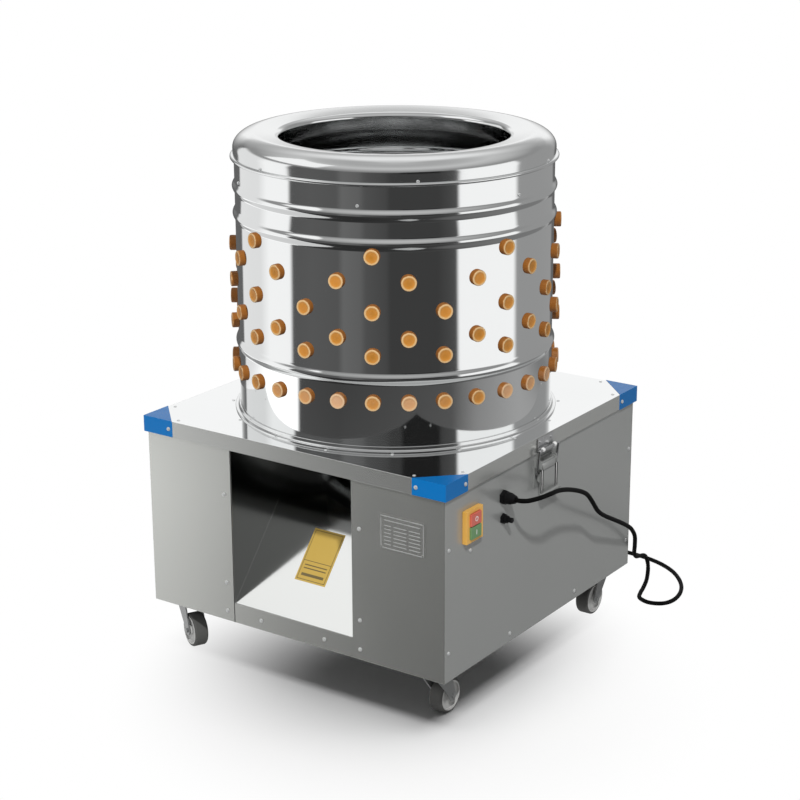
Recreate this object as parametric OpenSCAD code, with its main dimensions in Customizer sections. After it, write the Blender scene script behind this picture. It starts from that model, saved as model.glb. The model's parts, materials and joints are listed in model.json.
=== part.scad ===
// Poultry plucker: a drum of rubber fingers on a tilting deck, over a wheeled sheet-steel base.
// Millimetres. The origin is on the floor under the drum's axis, +Z is up, and -Y is the front,
// where the feathers come out. The switch and the latch are on the +X side.

/* [Base] */
// Width and depth of the base over its panels
base_w = 622; // [590:1:660]
// Height of the panels' lower edge above the floor
panel_bottom = 85; // [80:1:110]
// Height of the deck's top face above the floor
deck_top = 432; // [425:1:470]
// Thickness of the panels
sheet_t = 1.5; // [1:0.1:2]
// Leg of the frame's angle steel
angle_w = 30; // [26:1:36]
// Thickness of the frame's angle steel
angle_t = 3; // [2:0.5:4]
// Leg of the top frame's angle steel, and of the drive rails
rail_h = 25; // [20:1:28]
// Width of the feather outlet in the front
opening_w = 254; // [200:1:280]
// Height of the sill under the feather outlet
sill_h = 36.5; // [30:0.5:60]
// Slope of the chute plate in degrees
chute_angle = 50; // [48:1:54]

/* [Deck] */
// Gap between the panels and the deck's flange
deck_gap = 2.5; // [2:0.1:4]
// Thickness of the deck
deck_t = 1.5; // [1:0.1:2]
// Height of the deck's flange
flange_h = 28; // [24:1:32]
// Gap at which the deck sits over the top frame
deck_seat = 0.3; // [0.2:0.1:0.6]
// Length of each side of a corner cap
cap_leg = 65; // [55:1:80]
// Thickness of a corner cap
cap_t = 1; // [0.8:0.1:1.5]

/* [Drum] */
// Outer radius of the drum
drum_r = 275; // [265:1:280]
// Thickness of the drum's sheet
drum_t = 1.2; // [0.8:0.1:1.5]
// Height of the drum's shell above the deck
drum_h = 458; // [445:1:500]
// How far a bead stands out of the drum
bead_r = 4; // [2:0.5:6]
// Half of a bead's height
bead_half = 6.5; // [5:0.5:9]
// Height of the lowest bead above the deck
bead_low = 125; // [115:1:135]
// Distance of the middle bead below the shell's top edge
bead_mid_drop = 107; // [100:1:115]
// Distance of the top bead below the shell's top edge
bead_high_drop = 60; // [50:1:75]
// Width of the foot ring's flange
foot_w = 20; // [15:1:24]
// Height of the foot ring's wall
foot_h = 12; // [8:1:20]
// Thickness of the foot ring
foot_t = 2.5; // [2:0.5:4]
// Number of bolts in the foot ring
foot_bolts = 16; // [8:1:20]
// Radius of the mouth
mouth_r = 197; // [185:1:210]
// Height of the mouth's straight lip
mouth_len = 21; // [15:1:30]
// Radius of the curve from the lip to the top of the rim
mouth_curve = 10; // [5:1:12]
// How far the rim's ridge stands over the shell's top edge
rim_rise = 30; // [27:1:40]
// Radius of the rim's ridge
ridge_r = 238; // [230:1:245]
// How far the rim's skirt reaches down over the shell
skirt_h = 15; // [14:1:20]
// Thickness of the rim's sheet
rim_t = 1.5; // [1:0.1:2]
// How far the wired hem stands out of the skirt
hem_out = 5; // [3:0.5:7]
// Number of screws in the rim's skirt
rim_screws = 6; // [4:1:8]

/* [Fingers] */
// Number of finger columns round the drum
columns = 30; // [24:2:30]
// Turn of the first column from the +X axis in degrees
column_turn = -62.6; // [-66:0.1:-60]
// Diameter of a finger's head
head_d = 26.5; // [24:0.5:30]
// Thickness of a finger's head
head_h = 12.5; // [8:0.5:18]
// Diameter of a finger's neck
neck_d = 19; // [15:0.5:20]
// Radial clearance of a neck in its hole
neck_clear = 0.25; // [0.2:0.05:0.5]
// Diameter of the collar behind the sheet
collar_d = 24; // [22:1:26]
// Thickness of the collar
collar_h = 4.4; // [3:0.1:6]
// Length of a finger past the sheet
finger_len = 90; // [60:1:95]
// Diameter of a finger beside its collar
root_d = 20; // [16:1:21]
// Diameter of a finger's tip
tip_d = 14; // [10:1:16]
// Number of ribs on a finger
ribs = 6; // [4:1:8]
// Gap between the heads of the first, sparsest row and the middle bead over them
head_gap = 0.3; // [0.2:0.1:2]
// Place of the second row, as a share of the way from the lowest bead to the middle bead
share_b = 0.723; // [0.7:0.001:0.75]
// Place of the third row, as such a share
share_c = 0.502; // [0.48:0.001:0.52]
// Place of the fourth row, as such a share
share_d = 0.305; // [0.29:0.001:0.32]
// Place of the fifth row, as such a share
share_e = 0.177; // [0.16:0.001:0.19]
// Distance of the lowest, full row below the lowest bead
row_f_drop = 39; // [30:0.5:45]

/* [Turntable] */
// Gap between the turntable and the drum's wall
plate_gap = 11.8; // [8:0.1:20]
// How far the deck's hole is wider than the turntable
hole_gap = 6; // [4:0.5:7]
// Height of the turntable's lower face above the deck
plate_rise = 6; // [4:0.5:10]
// Thickness of the turntable
plate_t = 6; // [4:0.5:8]
// Radius of the inner ring of plate fingers
ring_in = 72; // [65:1:80]
// Number of fingers in the inner ring
count_in = 6; // [3:1:8]
// Radius of the outer ring of plate fingers
ring_out = 140; // [125:1:150]
// Number of fingers in the outer ring
count_out = 12; // [6:1:16]
// Radius of the hub under the turntable
hub_r = 40; // [34:1:46]
// Height of the hub
hub_h = 16; // [12:1:18]
// Number of sweeps under the turntable
sweeps = 3; // [2:1:4]
// Thickness of a sweep
sweep_t = 3; // [2:0.5:5]

/* [Drive] */
// Radius of the main shaft
shaft_r = 12.5; // [10:0.5:15]
// Radial clearance of a turning shaft
run_clear = 0.05; // [0.02:0.01:0.09]
// Outer radius of the spindle bearings
bearing_r = 26; // [24:0.5:30]
// Height of a spindle bearing
bearing_h = 15; // [12:1:18]
// Outer radius of the spindle housing
housing_r = 45; // [40:1:50]
// Height of the spindle housing
housing_h = 195; // [150:1:200]
// Width of a drive beam
beam_w = 30; // [25:1:34]
// Height of a drive beam
beam_h = 30; // [25:1:35]
// Distance of the spindle beams from the axis
beam_y = 70; // [68:1:80]
// Distance of the rear beam from the axis
rear_beam_y = 265; // [262:1:268]
// Radius of the belt's seat on the driven pulley
driven_r = 100; // [85:1:105]
// Radius of the belt's seat on the drive pulley
drive_r = 25; // [20:1:30]
// Distance between the two pulleys
belt_reach = 168; // [166:1:175]
// Width of the belt
belt_w = 12; // [10:1:14]
// Thickness of the belt
belt_t = 8; // [7:0.5:10]
// Radius of the motor's body
motor_r = 62; // [50:1:66]
// Height of the motor's body
motor_h = 175; // [150:1:180]
// Radius of the motor's shaft
motor_shaft_r = 9.5; // [7:0.5:12]
// Thickness of the motor plate
motor_plate_t = 8; // [6:1:10]

/* [Switch side] */
// Distance of the switch from the front of the base
switch_in = 75; // [66:1:91]
// Height of the switch's middle above the floor
switch_z = 342; // [330:1:350]
// Width of the switch's frame
switch_w = 48; // [44:1:54]
// Height of the switch's frame
switch_h = 56; // [52:1:60]
// How far the switch's frame stands out
switch_out = 9; // [7:0.5:12]
// Width of a switch button
button_w = 30; // [26:1:34]
// Height of a switch button
button_h = 21; // [18:1:22]
// How far a button stands out of the frame
button_out = 3.5; // [3.2:0.1:5]
// Travel of a switch button
button_travel = 3; // [2:0.1:3.2]
// Clearance round a button
button_clear = 0.3; // [0.2:0.05:0.5]
// Distance of the cable gland in front of the axis
gland_y = 136; // [125:1:140]
// Height of the cable gland above the floor
gland_z = 357; // [350:1:360]
// Height of the overload breaker above the floor
breaker_z = 319; // [310:1:325]
// Radius of the reset button
reset_r = 4.5; // [3.5:0.1:5]

/* [Latch and hinges] */
// Distance of the latch in front of the axis
latch_y = 10; // [0:1:25]
// Width of the latch lever
lever_w = 56; // [44:1:64]
// Length of the latch lever below its pivot
lever_len = 50; // [40:1:60]
// Distance of the bail's pivot below the lever's pivot
bail_drop = 14; // [12:1:18]
// Radius of the bail's wire
bail_r = 2.2; // [1.5:0.1:2.4]
// Distance of each hinge from the axis
hinge_y = 200; // [150:1:220]
// Length of a hinge
hinge_len = 60; // [50:1:80]
// Radius of a hinge knuckle
knuckle_r = 5.5; // [5:0.1:7]
// Radius of a hinge pin
hinge_pin_r = 3; // [2:0.1:3.5]

/* [Casters] */
// Distance of a caster's swivel from the two panels of its corner
caster_in = 43; // [39:1:51]
// Distance of a wheel's axle behind the swivel
trail = 24; // [18:1:28]
// Radius of a wheel
wheel_r = 30.5; // [25:0.5:32]
// Width of a wheel
wheel_w = 26; // [20:1:30]
// Radius of a wheel's axle
axle_r = 4; // [3:0.5:5]
// Width of a caster's top plate
caster_plate_w = 60; // [54:1:66]

/* [Cord] */
// Diameter of the mains cord
cord_d = 8; // [7:0.1:8.2]
// Number of turns in each of the coil's two layers
coil_turns = 2; // [1:1:3]

/* [Hidden] */
$fn = 48;

STEEL = [0.72, 0.73, 0.74];
BRIGHT = [0.85, 0.86, 0.87];
ZINC = [0.6, 0.61, 0.62];
BLUE = [0.02, 0.42, 0.8];
RUBBER = [0.86, 0.62, 0.3];
BLACK = [0.06, 0.06, 0.06];
GREY = [0.45, 0.46, 0.47];
YELLOW = [0.92, 0.7, 0.2];

// Extra length that carries a cut past both faces
past = 1;
// Gap between pieces that lie side by side without touching
ease = 0.3;
// Gap that the welds bridge between the frame's bars
weld_gap = 0.2;

// Base
base_half = base_w / 2;
inside = base_half - sheet_t;
deck_under = deck_top - deck_t;
frame_top = deck_under - deck_seat;
frame_low = frame_top - rail_h;
panel_top = deck_under - 2.5;
sill_z = panel_bottom + sill_h;
pan_z = frame_low - sheet_t;
chute_drop = sheet_t / cos(chute_angle);
chute_back = -inside + (pan_z - sill_z) / tan(chute_angle);

// Deck and drum
flange_in = base_half + deck_gap;
deck_half = flange_in + deck_t;
flange_low = deck_top - flange_h;
cap_half = deck_half + cap_t;
drum_in = drum_r - drum_t;
shell_top = deck_top + drum_h;
bead_mid = drum_h - bead_mid_drop;
bead_high = drum_h - bead_high_drop;
bead_heights = [bead_low, bead_mid, bead_high];
bead_steps = 10;
turntable_r = drum_in - plate_gap;
deck_hole_r = turntable_r + hole_gap;
plate_z = deck_top + plate_rise;
plate_top = plate_z + plate_t;
foot_in = drum_r + ease;
foot_bolt_r = foot_in + foot_t + (foot_w - foot_t) / 2;
skirt_in = drum_r + ease;
skirt_r = skirt_in + rim_t;
skirt_low = shell_top - skirt_h;
rim_turn_z = shell_top + 3;
mouth_top = shell_top + rim_rise - 5 - mouth_curve;
hem_half = 3.5;

// Fingers
finger_seat = 0.4;
rim_round = 1.5;
rib_depth = 1.3;
tip_len = 8;
bead_span = bead_mid - bead_low;
row_a = bead_mid - bead_half - head_gap - head_d / 2;
row_b = bead_low + bead_span * share_b;
row_c = bead_low + bead_span * share_c;
row_d = bead_low + bead_span * share_d;
row_e = bead_low + bead_span * share_e;
row_f = bead_low - row_f_drop;
even_columns = [0 : 2 : columns - 1];
odd_columns = [1 : 2 : columns - 1];
all_columns = [0 : columns - 1];
sparse_columns = [
    for (k = all_columns)
        if ((k < columns / 2 - 1 && k % 4 == 0) || k == columns / 2 || (k > columns / 2 + 1 && (columns - k) % 4 == 0))
            k
];
rows = [
    [row_a, sparse_columns],
    [row_b, [for (k = odd_columns) k]],
    [row_c, [for (k = even_columns) k]],
    [row_d, [for (k = odd_columns) k]],
    [row_e, [for (k = even_columns) k]],
    [row_f, [for (k = all_columns) k]]
];

// Drive: from the beams down to the pulleys
beam_top = 285;
beam_low = beam_top - beam_h;
rail_top = beam_low - weld_gap;
rail_low = rail_top - rail_h;
flange_t = 10;
housing_top = pan_z - 9;
housing_low = housing_top - housing_h;
motor_plate_top = 185;
motor_plate_low = motor_plate_top - motor_plate_t;
motor_flange_t = 10;
motor_top = motor_plate_top + motor_flange_t + motor_h;
pulley_h = belt_w + 13;
pulley_top = motor_plate_low - 12;
pulley_low = pulley_top - pulley_h;
pulley_rim = 5;
pulley_lip = belt_t - 1;
belt_low = pulley_low + (pulley_h - belt_w) / 2;
belt_clear = 0.3;
nut_h = 14;
washer_t = 3;
shaft_top = plate_top + washer_t + nut_h + 2;
shaft_low = pulley_low - 8;
collar_top = pan_z + sheet_t + 10;
collar_r = shaft_r + 18;
stud_r = 6;
stud_x = 80;
fan_cover_h = 20;
sweep_low = pan_z + sheet_t + 5;

// Switch side: a piece on the right panel is drawn along +Z and turned to point along +X
switch_back = 40;
well_deep = 16;
button_gap = 1;
gland_hex_r = 13;
gland_hex_h = 6;
gland_r = 10;
gland_tip_r = 6.5;
gland_dome = 9;
gland_taper = 10;
gland_thread_r = 7.8;
gland_len = gland_hex_h + gland_dome + gland_taper;
hole_clear = 0.2;
breaker_sleeve_r = reset_r + 2;
breaker_out = 10;
reset_out = 9;
switch_y = base_half - switch_in;
switch_screw_drop = 18;
plate_in = 82;
plate_x = base_half - plate_in;
plate_mid_z = 327;
plate_w = 90;
plate_h = 62;
plate_thick = 0.8;

// Latch: the lever's pivot, the bail's pivot and the keeper, in the plane across the latch
lever_t = 1.5;
ear_t = 2;
latch_plate_t = 1.5;
pivot_x = base_half + 8;
pivot_z = flange_low - 19;
pivot_r = 2.5;
ear_mid = lever_w / 2 - 2;
cheek_mid = ear_mid - 4;
bail_mid = lever_w / 2 + bail_r + 1;
lip_out = 5.5;
bail_x = deck_half + lip_out + bail_r + 0.6;
bail_z = flange_low + 7;

// Hinges
hinge_x = -(deck_half + knuckle_r);
hinge_z = flange_low - 2;
leaf_t = 2.5;
leaf_h = 34;

// Casters
caster_at = base_half - caster_in;
caster_plate_t = 3;
cup_r = 20;
cup_h = 6;
crown_h = 4.2;
cup_low = panel_bottom - caster_plate_t - cup_h;
crown_top = cup_low - ease;
crown_low = crown_top - crown_h;
kingpin_r = 5;
kingpin_head_h = 4.5;
fork_t = 2.5;
fork_gap = 1.2;
fork_in = wheel_w / 2 + fork_gap;
tread_round = 4;
// Each caster: the signs of its corner, then where its wheel trails, in degrees from +X
casters = [[-1, -1, -27], [1, -1, 90], [-1, 1, -60], [1, 1, -90]];

// Screws: the places of the heads on each face
screw_r = 3.6;
screw_h = 2;
front_screw_in = 16;
front_screw_low = panel_bottom + 19;
front_screw_mid = panel_bottom + 72;
front_screw_high = panel_bottom + 235;
sill_screw_x = 68;
sill_screw_z = panel_bottom + 18;
side_screw_in = 7;
side_screw_low = panel_bottom + 51;
side_screw_high = panel_bottom + 231;
foot_screw_x = 110;
foot_screw_z = panel_bottom + 16;
front_screws = [
    for (side = [-1, 1], z = [front_screw_low, front_screw_mid, front_screw_high])
        [side * (opening_w / 2 + front_screw_in), z]
];
sill_screws = [[-sill_screw_x, sill_screw_z], [sill_screw_x, sill_screw_z]];
side_screws = concat(
    [for (side = [-1, 1], z = [side_screw_low, side_screw_high]) [side * (inside - angle_t - side_screw_in), z]],
    [for (side = [-1, 1]) [side * foot_screw_x, foot_screw_z]]
);

// Cord: the free stretch's route, from the gland's tip to the coil
cord_r = cord_d / 2;
cord_start_x = base_half + gland_len;
cord_sides = 10;
cord_steps = 2;
coil_sides = 6;
coil_rings = 24;
coil_gap = 0.6;
coil_pitch = cord_d + coil_gap;
coil_r = 54;
coil_x = 125;
coil_y = 480;
tie_t = 0.8;
tie_ease = 0.5;
tie_w = 8;
coil_z = cord_r + tie_t + tie_ease;
coil_lead = cord_d;
cord_route = [
    [cord_start_x, -gland_y, gland_z], [cord_start_x + 9, -gland_y, gland_z],
    [359, -133.5, 359.5], [374, -121, 364], [381, -99, 366], [379, -73, 362.5], [376, -46, 355.5],
    [373, -19, 346.5], [371, 8, 336], [369, 30, 326], [366, 51, 314], [362, 75, 294], [357, 102, 269],
    [354, 123, 254], [351, 146, 241], [348, 176, 225.5], [345, 210, 208], [341, 241, 191.5],
    [336, 272, 173], [329, 301, 148], [318, 324, 119], [308, 342, 95], [301, 363, 79], [297, 387, 71],
    [296, 411, 62], [297, 422, 39], [300, 413, 15], [305, 389, 5.2], [310, 370, 4.5], [320, 347, 4.2],
    [344, 337, 4.1], [368, 347, 4.1], [378, 371, 4.1], [375, 404, 4.1], [362, 438, 4.1], [340, 470, 4.1],
    [311, 498, 4.1], [274, 519, 4.1], [232, 531, 4.1], [190, 534, 4.4],
    [coil_x + coil_lead + 24, coil_y + coil_r, coil_z - 0.2],
    [coil_x + coil_lead, coil_y + coil_r, coil_z]
];

// Points on a smooth curve through the given points, with a number of steps to each span
function spline(p, steps) = [
    for (i = [0 : len(p) - 2], s = [0 : steps - 1])
        let (
            a = p[max(i - 1, 0)],
            b = p[i],
            c = p[i + 1],
            d = p[min(i + 2, len(p) - 1)],
            t = s / steps
        )
        0.5 * (2 * b + (c - a) * t + (2 * a - 5 * b + 4 * c - d) * t ^ 2 + (3 * b - a - 3 * c + d) * t ^ 3),
    p[len(p) - 1]
];

function unit(v) = v / norm(v);

// Direction of a path at one of its points
function heading(path, i) = unit(path[min(i + 1, len(path) - 1)] - path[max(i - 1, 0)]);

// Corners of a tube's rings along a path that never runs straight up
function tube_points(path, r, sides, first, last) = [
    for (i = [0 : len(path) - 1])
        let (
            ahead = i == 0 ? first : i == len(path) - 1 ? last : heading(path, i),
            across = unit(cross([0, 0, 1], ahead)),
            over = cross(ahead, across)
        )
        for (j = [0 : sides - 1])
            let (a = 360 * (j + 0.5) / sides)
            path[i] + r * (cos(a) * across + sin(a) * over)
];

// Triangles of a closed tube of n rings
function tube_faces(n, sides) = concat(
    [for (i = [0 : n - 2], j = [0 : sides - 1]) let (k = (j + 1) % sides)
        [i * sides + j, (i + 1) * sides + j, i * sides + k]],
    [for (i = [0 : n - 2], j = [0 : sides - 1]) let (k = (j + 1) % sides)
        [i * sides + k, (i + 1) * sides + j, (i + 1) * sides + k]],
    [for (j = [1 : sides - 2]) [0, j, j + 1]],
    [for (j = [1 : sides - 2]) [(n - 1) * sides, (n - 1) * sides + j + 1, (n - 1) * sides + j]]
);

module tube(path, r, sides, first, last) {
    polyhedron(tube_points(path, r, sides, first, last), tube_faces(len(path), sides), convexity = 10);
}

// The coil spirals in on the floor, climbs in the half turn where it reverses, and spirals out again
coil_in = coil_r - coil_pitch * coil_turns;
coil_all = 2 * coil_turns + 0.5;
function coil_radius(t) =
    t < coil_turns ? coil_r - coil_pitch * t :
    t < coil_turns + 0.25 ? coil_in - coil_pitch * (t - coil_turns) :
    coil_in + coil_pitch * (t - coil_turns - 0.5);
function climb(u) = u <= 0 ? 0 : u >= 1 ? 1 : u * u * (3 - 2 * u);
function coil_height(t) = coil_z + coil_pitch * climb((t - coil_turns) / 0.5);
function coil_at(t) = [
    coil_x + coil_radius(t) * cos(90 + 360 * t),
    coil_y + coil_radius(t) * sin(90 + 360 * t),
    coil_height(t)
];
coil_first = [coil_x + coil_lead, coil_y + coil_r, coil_z];
coil_last = coil_at(coil_all) + [coil_lead, 0, 0];
coil_path = concat(
    [coil_first],
    [for (i = [0 : coil_rings * coil_all]) coil_at(i / coil_rings)],
    [coil_last]
);

// Least gap of the coil to itself, between points that are at least half a turn apart
coil_least = min([
    for (i = [0 : len(coil_path) - 1], j = [i + coil_rings / 2 : 1 : len(coil_path) - 1])
        norm(coil_path[i] - coil_path[j])
]) - cord_d;

function path_length(p) = len(p) < 2 ? 0 : sum([for (i = [1 : len(p) - 1]) norm(p[i] - p[i - 1])]);
function sum(v) = v * [for (x = v) 1];

echo(coil_gap_mm = coil_least);  // cord_coil
echo(cord_length_mm = path_length(spline(cord_route, 8)) + path_length(coil_path));  // mains_cord

// Helpers

// A box between two corners
module block(low, high) {
    translate(low) cube(high - low);
}

// Children drawn along +Z from a point of the right panel's face, turned to point along +X
module on_right(y, z) {
    translate([base_half, y, z]) rotate([0, 90, 0]) children();
}

// A square ring of tube, between two half widths and two heights
module square_ring(out_half, in_half, low, high) {
    difference() {
        block([-out_half, -out_half, low], [out_half, out_half, high]);
        block([-in_half, -in_half, low - past], [in_half, in_half, high + past]);
    }
}

// A round-headed screw's head, drawn along +Z from its seat
module screw_head() {
    cylinder(h = screw_h, r1 = screw_r, r2 = screw_r * 0.7);
}

// An outline in the plane of Y and Z, drawn out along +X from a place
module along_x(x, length) {
    translate([x, 0, 0]) rotate([90, 0, 90]) linear_extrude(length) children();
}

// An outline in the plane of X and Z, drawn out along -Y from a place
module along_y(y, length) {
    translate([0, y, 0]) rotate([90, 0, 0]) linear_extrude(length) children();
}

// Frame

// An angle bar along X, against the panel at -Y: a flat leg below and an upright leg outside
module angle_bar(half, low, width) {
    along_x(-half, 2 * half)
        polygon([[-inside, low], [width - inside, low], [width - inside, low + angle_t],
            [angle_t - inside, low + angle_t], [angle_t - inside, low + width], [-inside, low + width]]);
}

// A square ring of four angle bars, two of them butted between the others
module angle_ring(low, width) {
    for (turn = [0, 180]) {
        rotate([0, 0, turn]) angle_bar(inside, low, width);
        rotate([0, 0, turn + 90]) angle_bar(inside - width - weld_gap, low, width);
    }
}

module bottom_frame() {
    color(ZINC) angle_ring(panel_bottom, angle_w);
}

module corner_posts() {
    low = panel_bottom + angle_w;
    color(ZINC) for (sx = [0, 1], sy = [0, 1])
        mirror([sx, 0, 0]) mirror([0, sy, 0])
            difference() {
                block([inside - angle_w, inside - angle_w, low], [inside, inside, frame_low]);
                block([inside - angle_w - past, inside - angle_w - past, low - past],
                    [inside - angle_t, inside - angle_t, frame_low + past]);
            }
}

module top_frame() {
    color(ZINC) angle_ring(frame_low, rail_h);
}

// Two angle rails between the posts carry three channels across the base
module drive_frame() {
    reach = inside - angle_t;
    color(ZINC) {
        for (sx = [0, 1])
            mirror([sx, 0, 0]) difference() {
                block([inside - angle_w, -reach, rail_low], [reach, reach, rail_top]);
                block([inside - angle_w - past, -reach - past, rail_low - past],
                    [reach - angle_t, reach + past, rail_top - angle_t]);
            }
        for (y = [-beam_y, beam_y, rear_beam_y])
            translate([0, y, 0]) difference() {
                block([-reach, -beam_w / 2, beam_low], [reach, beam_w / 2, beam_top]);
                block([-reach - past, angle_t - beam_w / 2, beam_low - past],
                    [reach + past, beam_w / 2 - angle_t, beam_top - angle_t]);
            }
    }
}

// Panels

module front_panel(low_x, high_x) {
    block([low_x, -base_half, panel_bottom], [high_x, -inside, panel_top]);
}

module front_left_panel() {
    color(STEEL) front_panel(-base_half, -opening_w / 2);
}

module front_right_panel() {
    color(STEEL) front_panel(opening_w / 2, base_half);
}

module front_sill() {
    color(STEEL) block([-opening_w / 2, -base_half, panel_bottom], [opening_w / 2, -inside, sill_z]);
}

module side_panel() {
    block([inside, -inside, panel_bottom], [base_half, inside, panel_top]);
}

module left_panel() {
    color(STEEL) mirror([1, 0, 0]) side_panel();
}

module right_panel() {
    color(STEEL) difference() {
        side_panel();
        translate([-sheet_t - past, 0, 0]) {
            on_right(-switch_y, switch_z)
                block([-switch_h / 2 + 3.7, -switch_w / 2 + 5.7, 0],
                    [switch_h / 2 - 3.7, switch_w / 2 - 5.7, sheet_t + 2 * past]);
            on_right(-gland_y, gland_z) cylinder(h = sheet_t + 2 * past, r = gland_thread_r + hole_clear);
            on_right(-gland_y, breaker_z) cylinder(h = sheet_t + 2 * past, r = breaker_sleeve_r + hole_clear);
        }
    }
}

// The rear panel has a grid of air slots behind the motor
module rear_panel() {
    slot_len = 60;
    slot_w = 5;
    slot_x = 45;
    slot_low = panel_bottom + 135;
    slot_step = 14;
    color(STEEL) difference() {
        block([-base_half, inside, panel_bottom], [base_half, base_half, panel_top]);
        for (sx = [-1, 1], i = [0 : 5])
            translate([sx * slot_x, 0, slot_low + i * slot_step])
                block([-slot_len / 2, inside - past, -slot_w / 2], [slot_len / 2, base_half + past, slot_w / 2]);
    }
}

// The chute: a steep plate between two side walls, from under the pan down to the sill
module feather_chute() {
    half = opening_w / 2;
    color(BRIGHT) {
        along_x(-half - sheet_t, opening_w + 2 * sheet_t)
            polygon([[-inside, sill_z], [chute_back, pan_z], [chute_back, pan_z - chute_drop],
                [-inside, sill_z - chute_drop]]);
        for (x = [-half - sheet_t, half])
            along_x(x, sheet_t)
                polygon([[-inside, sill_z - chute_drop], [chute_back, pan_z - chute_drop],
                    [chute_back, pan_z], [-inside, pan_z]]);
    }
}

// The pan catches the feathers under the turntable, and opens over the chute
module feather_pan() {
    half = inside - angle_t - 0.1;
    wall_r = deck_hole_r + 1;
    floor_top = pan_z + sheet_t;
    color(BRIGHT) {
        difference() {
            block([-half, -half, pan_z], [half, half, floor_top]);
            block([-opening_w / 2, -half - past, pan_z - past], [opening_w / 2, chute_back, floor_top + past]);
            translate([0, 0, pan_z - past]) cylinder(h = sheet_t + 2 * past, r = collar_r);
        }
        translate([0, 0, pan_z]) difference() {
            cylinder(h = collar_top - pan_z, r = collar_r + sheet_t);
            translate([0, 0, -past]) cylinder(h = collar_top - pan_z + 2 * past, r = collar_r);
        }
        translate([0, 0, floor_top]) difference() {
            cylinder(h = deck_under - 1 - floor_top, r = wall_r + sheet_t, $fn = 96);
            translate([0, 0, -past]) cylinder(h = deck_under + past - floor_top, r = wall_r, $fn = 96);
        }
    }
}

module panel_screws() {
    color(BRIGHT) {
        for (p = concat(front_screws, sill_screws))
            translate([p[0], -base_half, p[1]]) rotate([90, 0, 0]) screw_head();
        for (turn = [0, 90, 180], p = side_screws)
            rotate([0, 0, turn]) translate([base_half, p[0], p[1]]) rotate([0, 90, 0]) screw_head();
        on_right(-switch_y, switch_z - switch_h / 2 - switch_screw_drop) screw_head();
    }
}

// A bare data plate, held by four rivets
module data_plate() {
    color(BRIGHT) {
        translate([plate_x, -base_half - plate_thick, plate_mid_z])
            block([-plate_w / 2, 0, -plate_h / 2], [plate_w / 2, plate_thick, plate_h / 2]);
        for (sx = [-1, 1], sz = [-1, 1])
            translate([plate_x + sx * (plate_w / 2 - 5), -base_half - plate_thick, plate_mid_z + sz * (plate_h / 2 - 5)])
                rotate([90, 0, 0]) cylinder(h = 1, r1 = 2, r2 = 1.4);
    }
}

// Switch side

// The switch: a frame on the panel with a body behind it, and a well for each button
module switch_housing() {
    well_w = button_w + 2 * button_clear;
    well_h = button_h + 2 * button_clear;
    color(YELLOW) on_right(-switch_y, switch_z) difference() {
        union() {
            block([-switch_h / 2, -switch_w / 2, 0], [switch_h / 2, switch_w / 2, switch_out]);
            block([-switch_h / 2 + 4, -switch_w / 2 + 6, -switch_back], [switch_h / 2 - 4, switch_w / 2 - 6, 0]);
        }
        for (side = [-1, 1])
            translate([side * (button_h + 2 * button_clear + button_gap) / 2, 0, switch_out - well_deep])
                block([-well_h / 2, -well_w / 2, 0], [well_h / 2, well_w / 2, well_deep + past]);
    }
}

// A button in its well; +1 is the lower one
module switch_button(side) {
    on_right(-switch_y, switch_z)
        translate([side * (button_h + 2 * button_clear + button_gap) / 2, 0, switch_out + button_out])
            block([-button_h / 2, -button_w / 2, -well_deep - button_out + button_travel + 0.6],
                [button_h / 2, button_w / 2, 0]);
}

module stop_button() {
    color([0.8, 0.25, 0.18]) switch_button(-1);
}

module start_button() {
    color([0.25, 0.55, 0.28]) switch_button(1);
}

// The overload breaker: a body behind the panel, with its sleeve and nut outside
module overload_breaker() {
    body_deep = 26;
    sleeve_deep = 12;
    color(BLACK) on_right(-gland_y, breaker_z) difference() {
        union() {
            block([-8, -12, -sheet_t - body_deep], [8, 12, -sheet_t]);
            translate([0, 0, -sheet_t]) cylinder(h = sheet_t + breaker_out, r = breaker_sleeve_r);
            cylinder(h = 4, r = breaker_sleeve_r + 3, $fn = 6);
        }
        translate([0, 0, breaker_out - sleeve_deep - 6])
            cylinder(h = sleeve_deep + 6 + past, r = reset_r + run_clear);
    }
}

module reset_button() {
    color(BLACK) on_right(-gland_y, breaker_z) cylinder(h = breaker_out + reset_out, r = reset_r);
}

// The gland: a hexagon on the panel, a tapering dome for the cord, and a nut behind the panel
module cable_gland() {
    color(BLACK) on_right(-gland_y, gland_z) {
        cylinder(h = gland_hex_h, r = gland_hex_r, $fn = 6);
        translate([0, 0, gland_hex_h]) cylinder(h = gland_dome, r = gland_r);
        translate([0, 0, gland_hex_h + gland_dome]) cylinder(h = gland_taper, r1 = gland_r, r2 = gland_tip_r);
        translate([0, 0, -sheet_t - 6]) cylinder(h = sheet_t + 6, r = gland_thread_r);
        translate([0, 0, -sheet_t - 5]) cylinder(h = 5, r = gland_hex_r - 1, $fn = 6);
    }
}

// Latch

module latch_base() {
    ear_out = pivot_x + 5 - base_half;
    plate_low = pivot_z - 42;
    plate_high = pivot_z + 9;
    plate_half = lever_w / 2 + 2;
    color(BRIGHT) translate([0, -latch_y, 0]) difference() {
        union() {
            block([base_half, -plate_half, plate_low], [base_half + latch_plate_t, plate_half, plate_high]);
            for (side = [-1, 1])
                translate([0, side * ear_mid, 0])
                    block([base_half, -ear_t / 2, pivot_z - 7], [base_half + ear_out, ear_t / 2, pivot_z + 7]);
        }
        translate([pivot_x, 0, pivot_z]) rotate([90, 0, 0])
            cylinder(h = lever_w, r = pivot_r + run_clear, center = true);
    }
}

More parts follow.
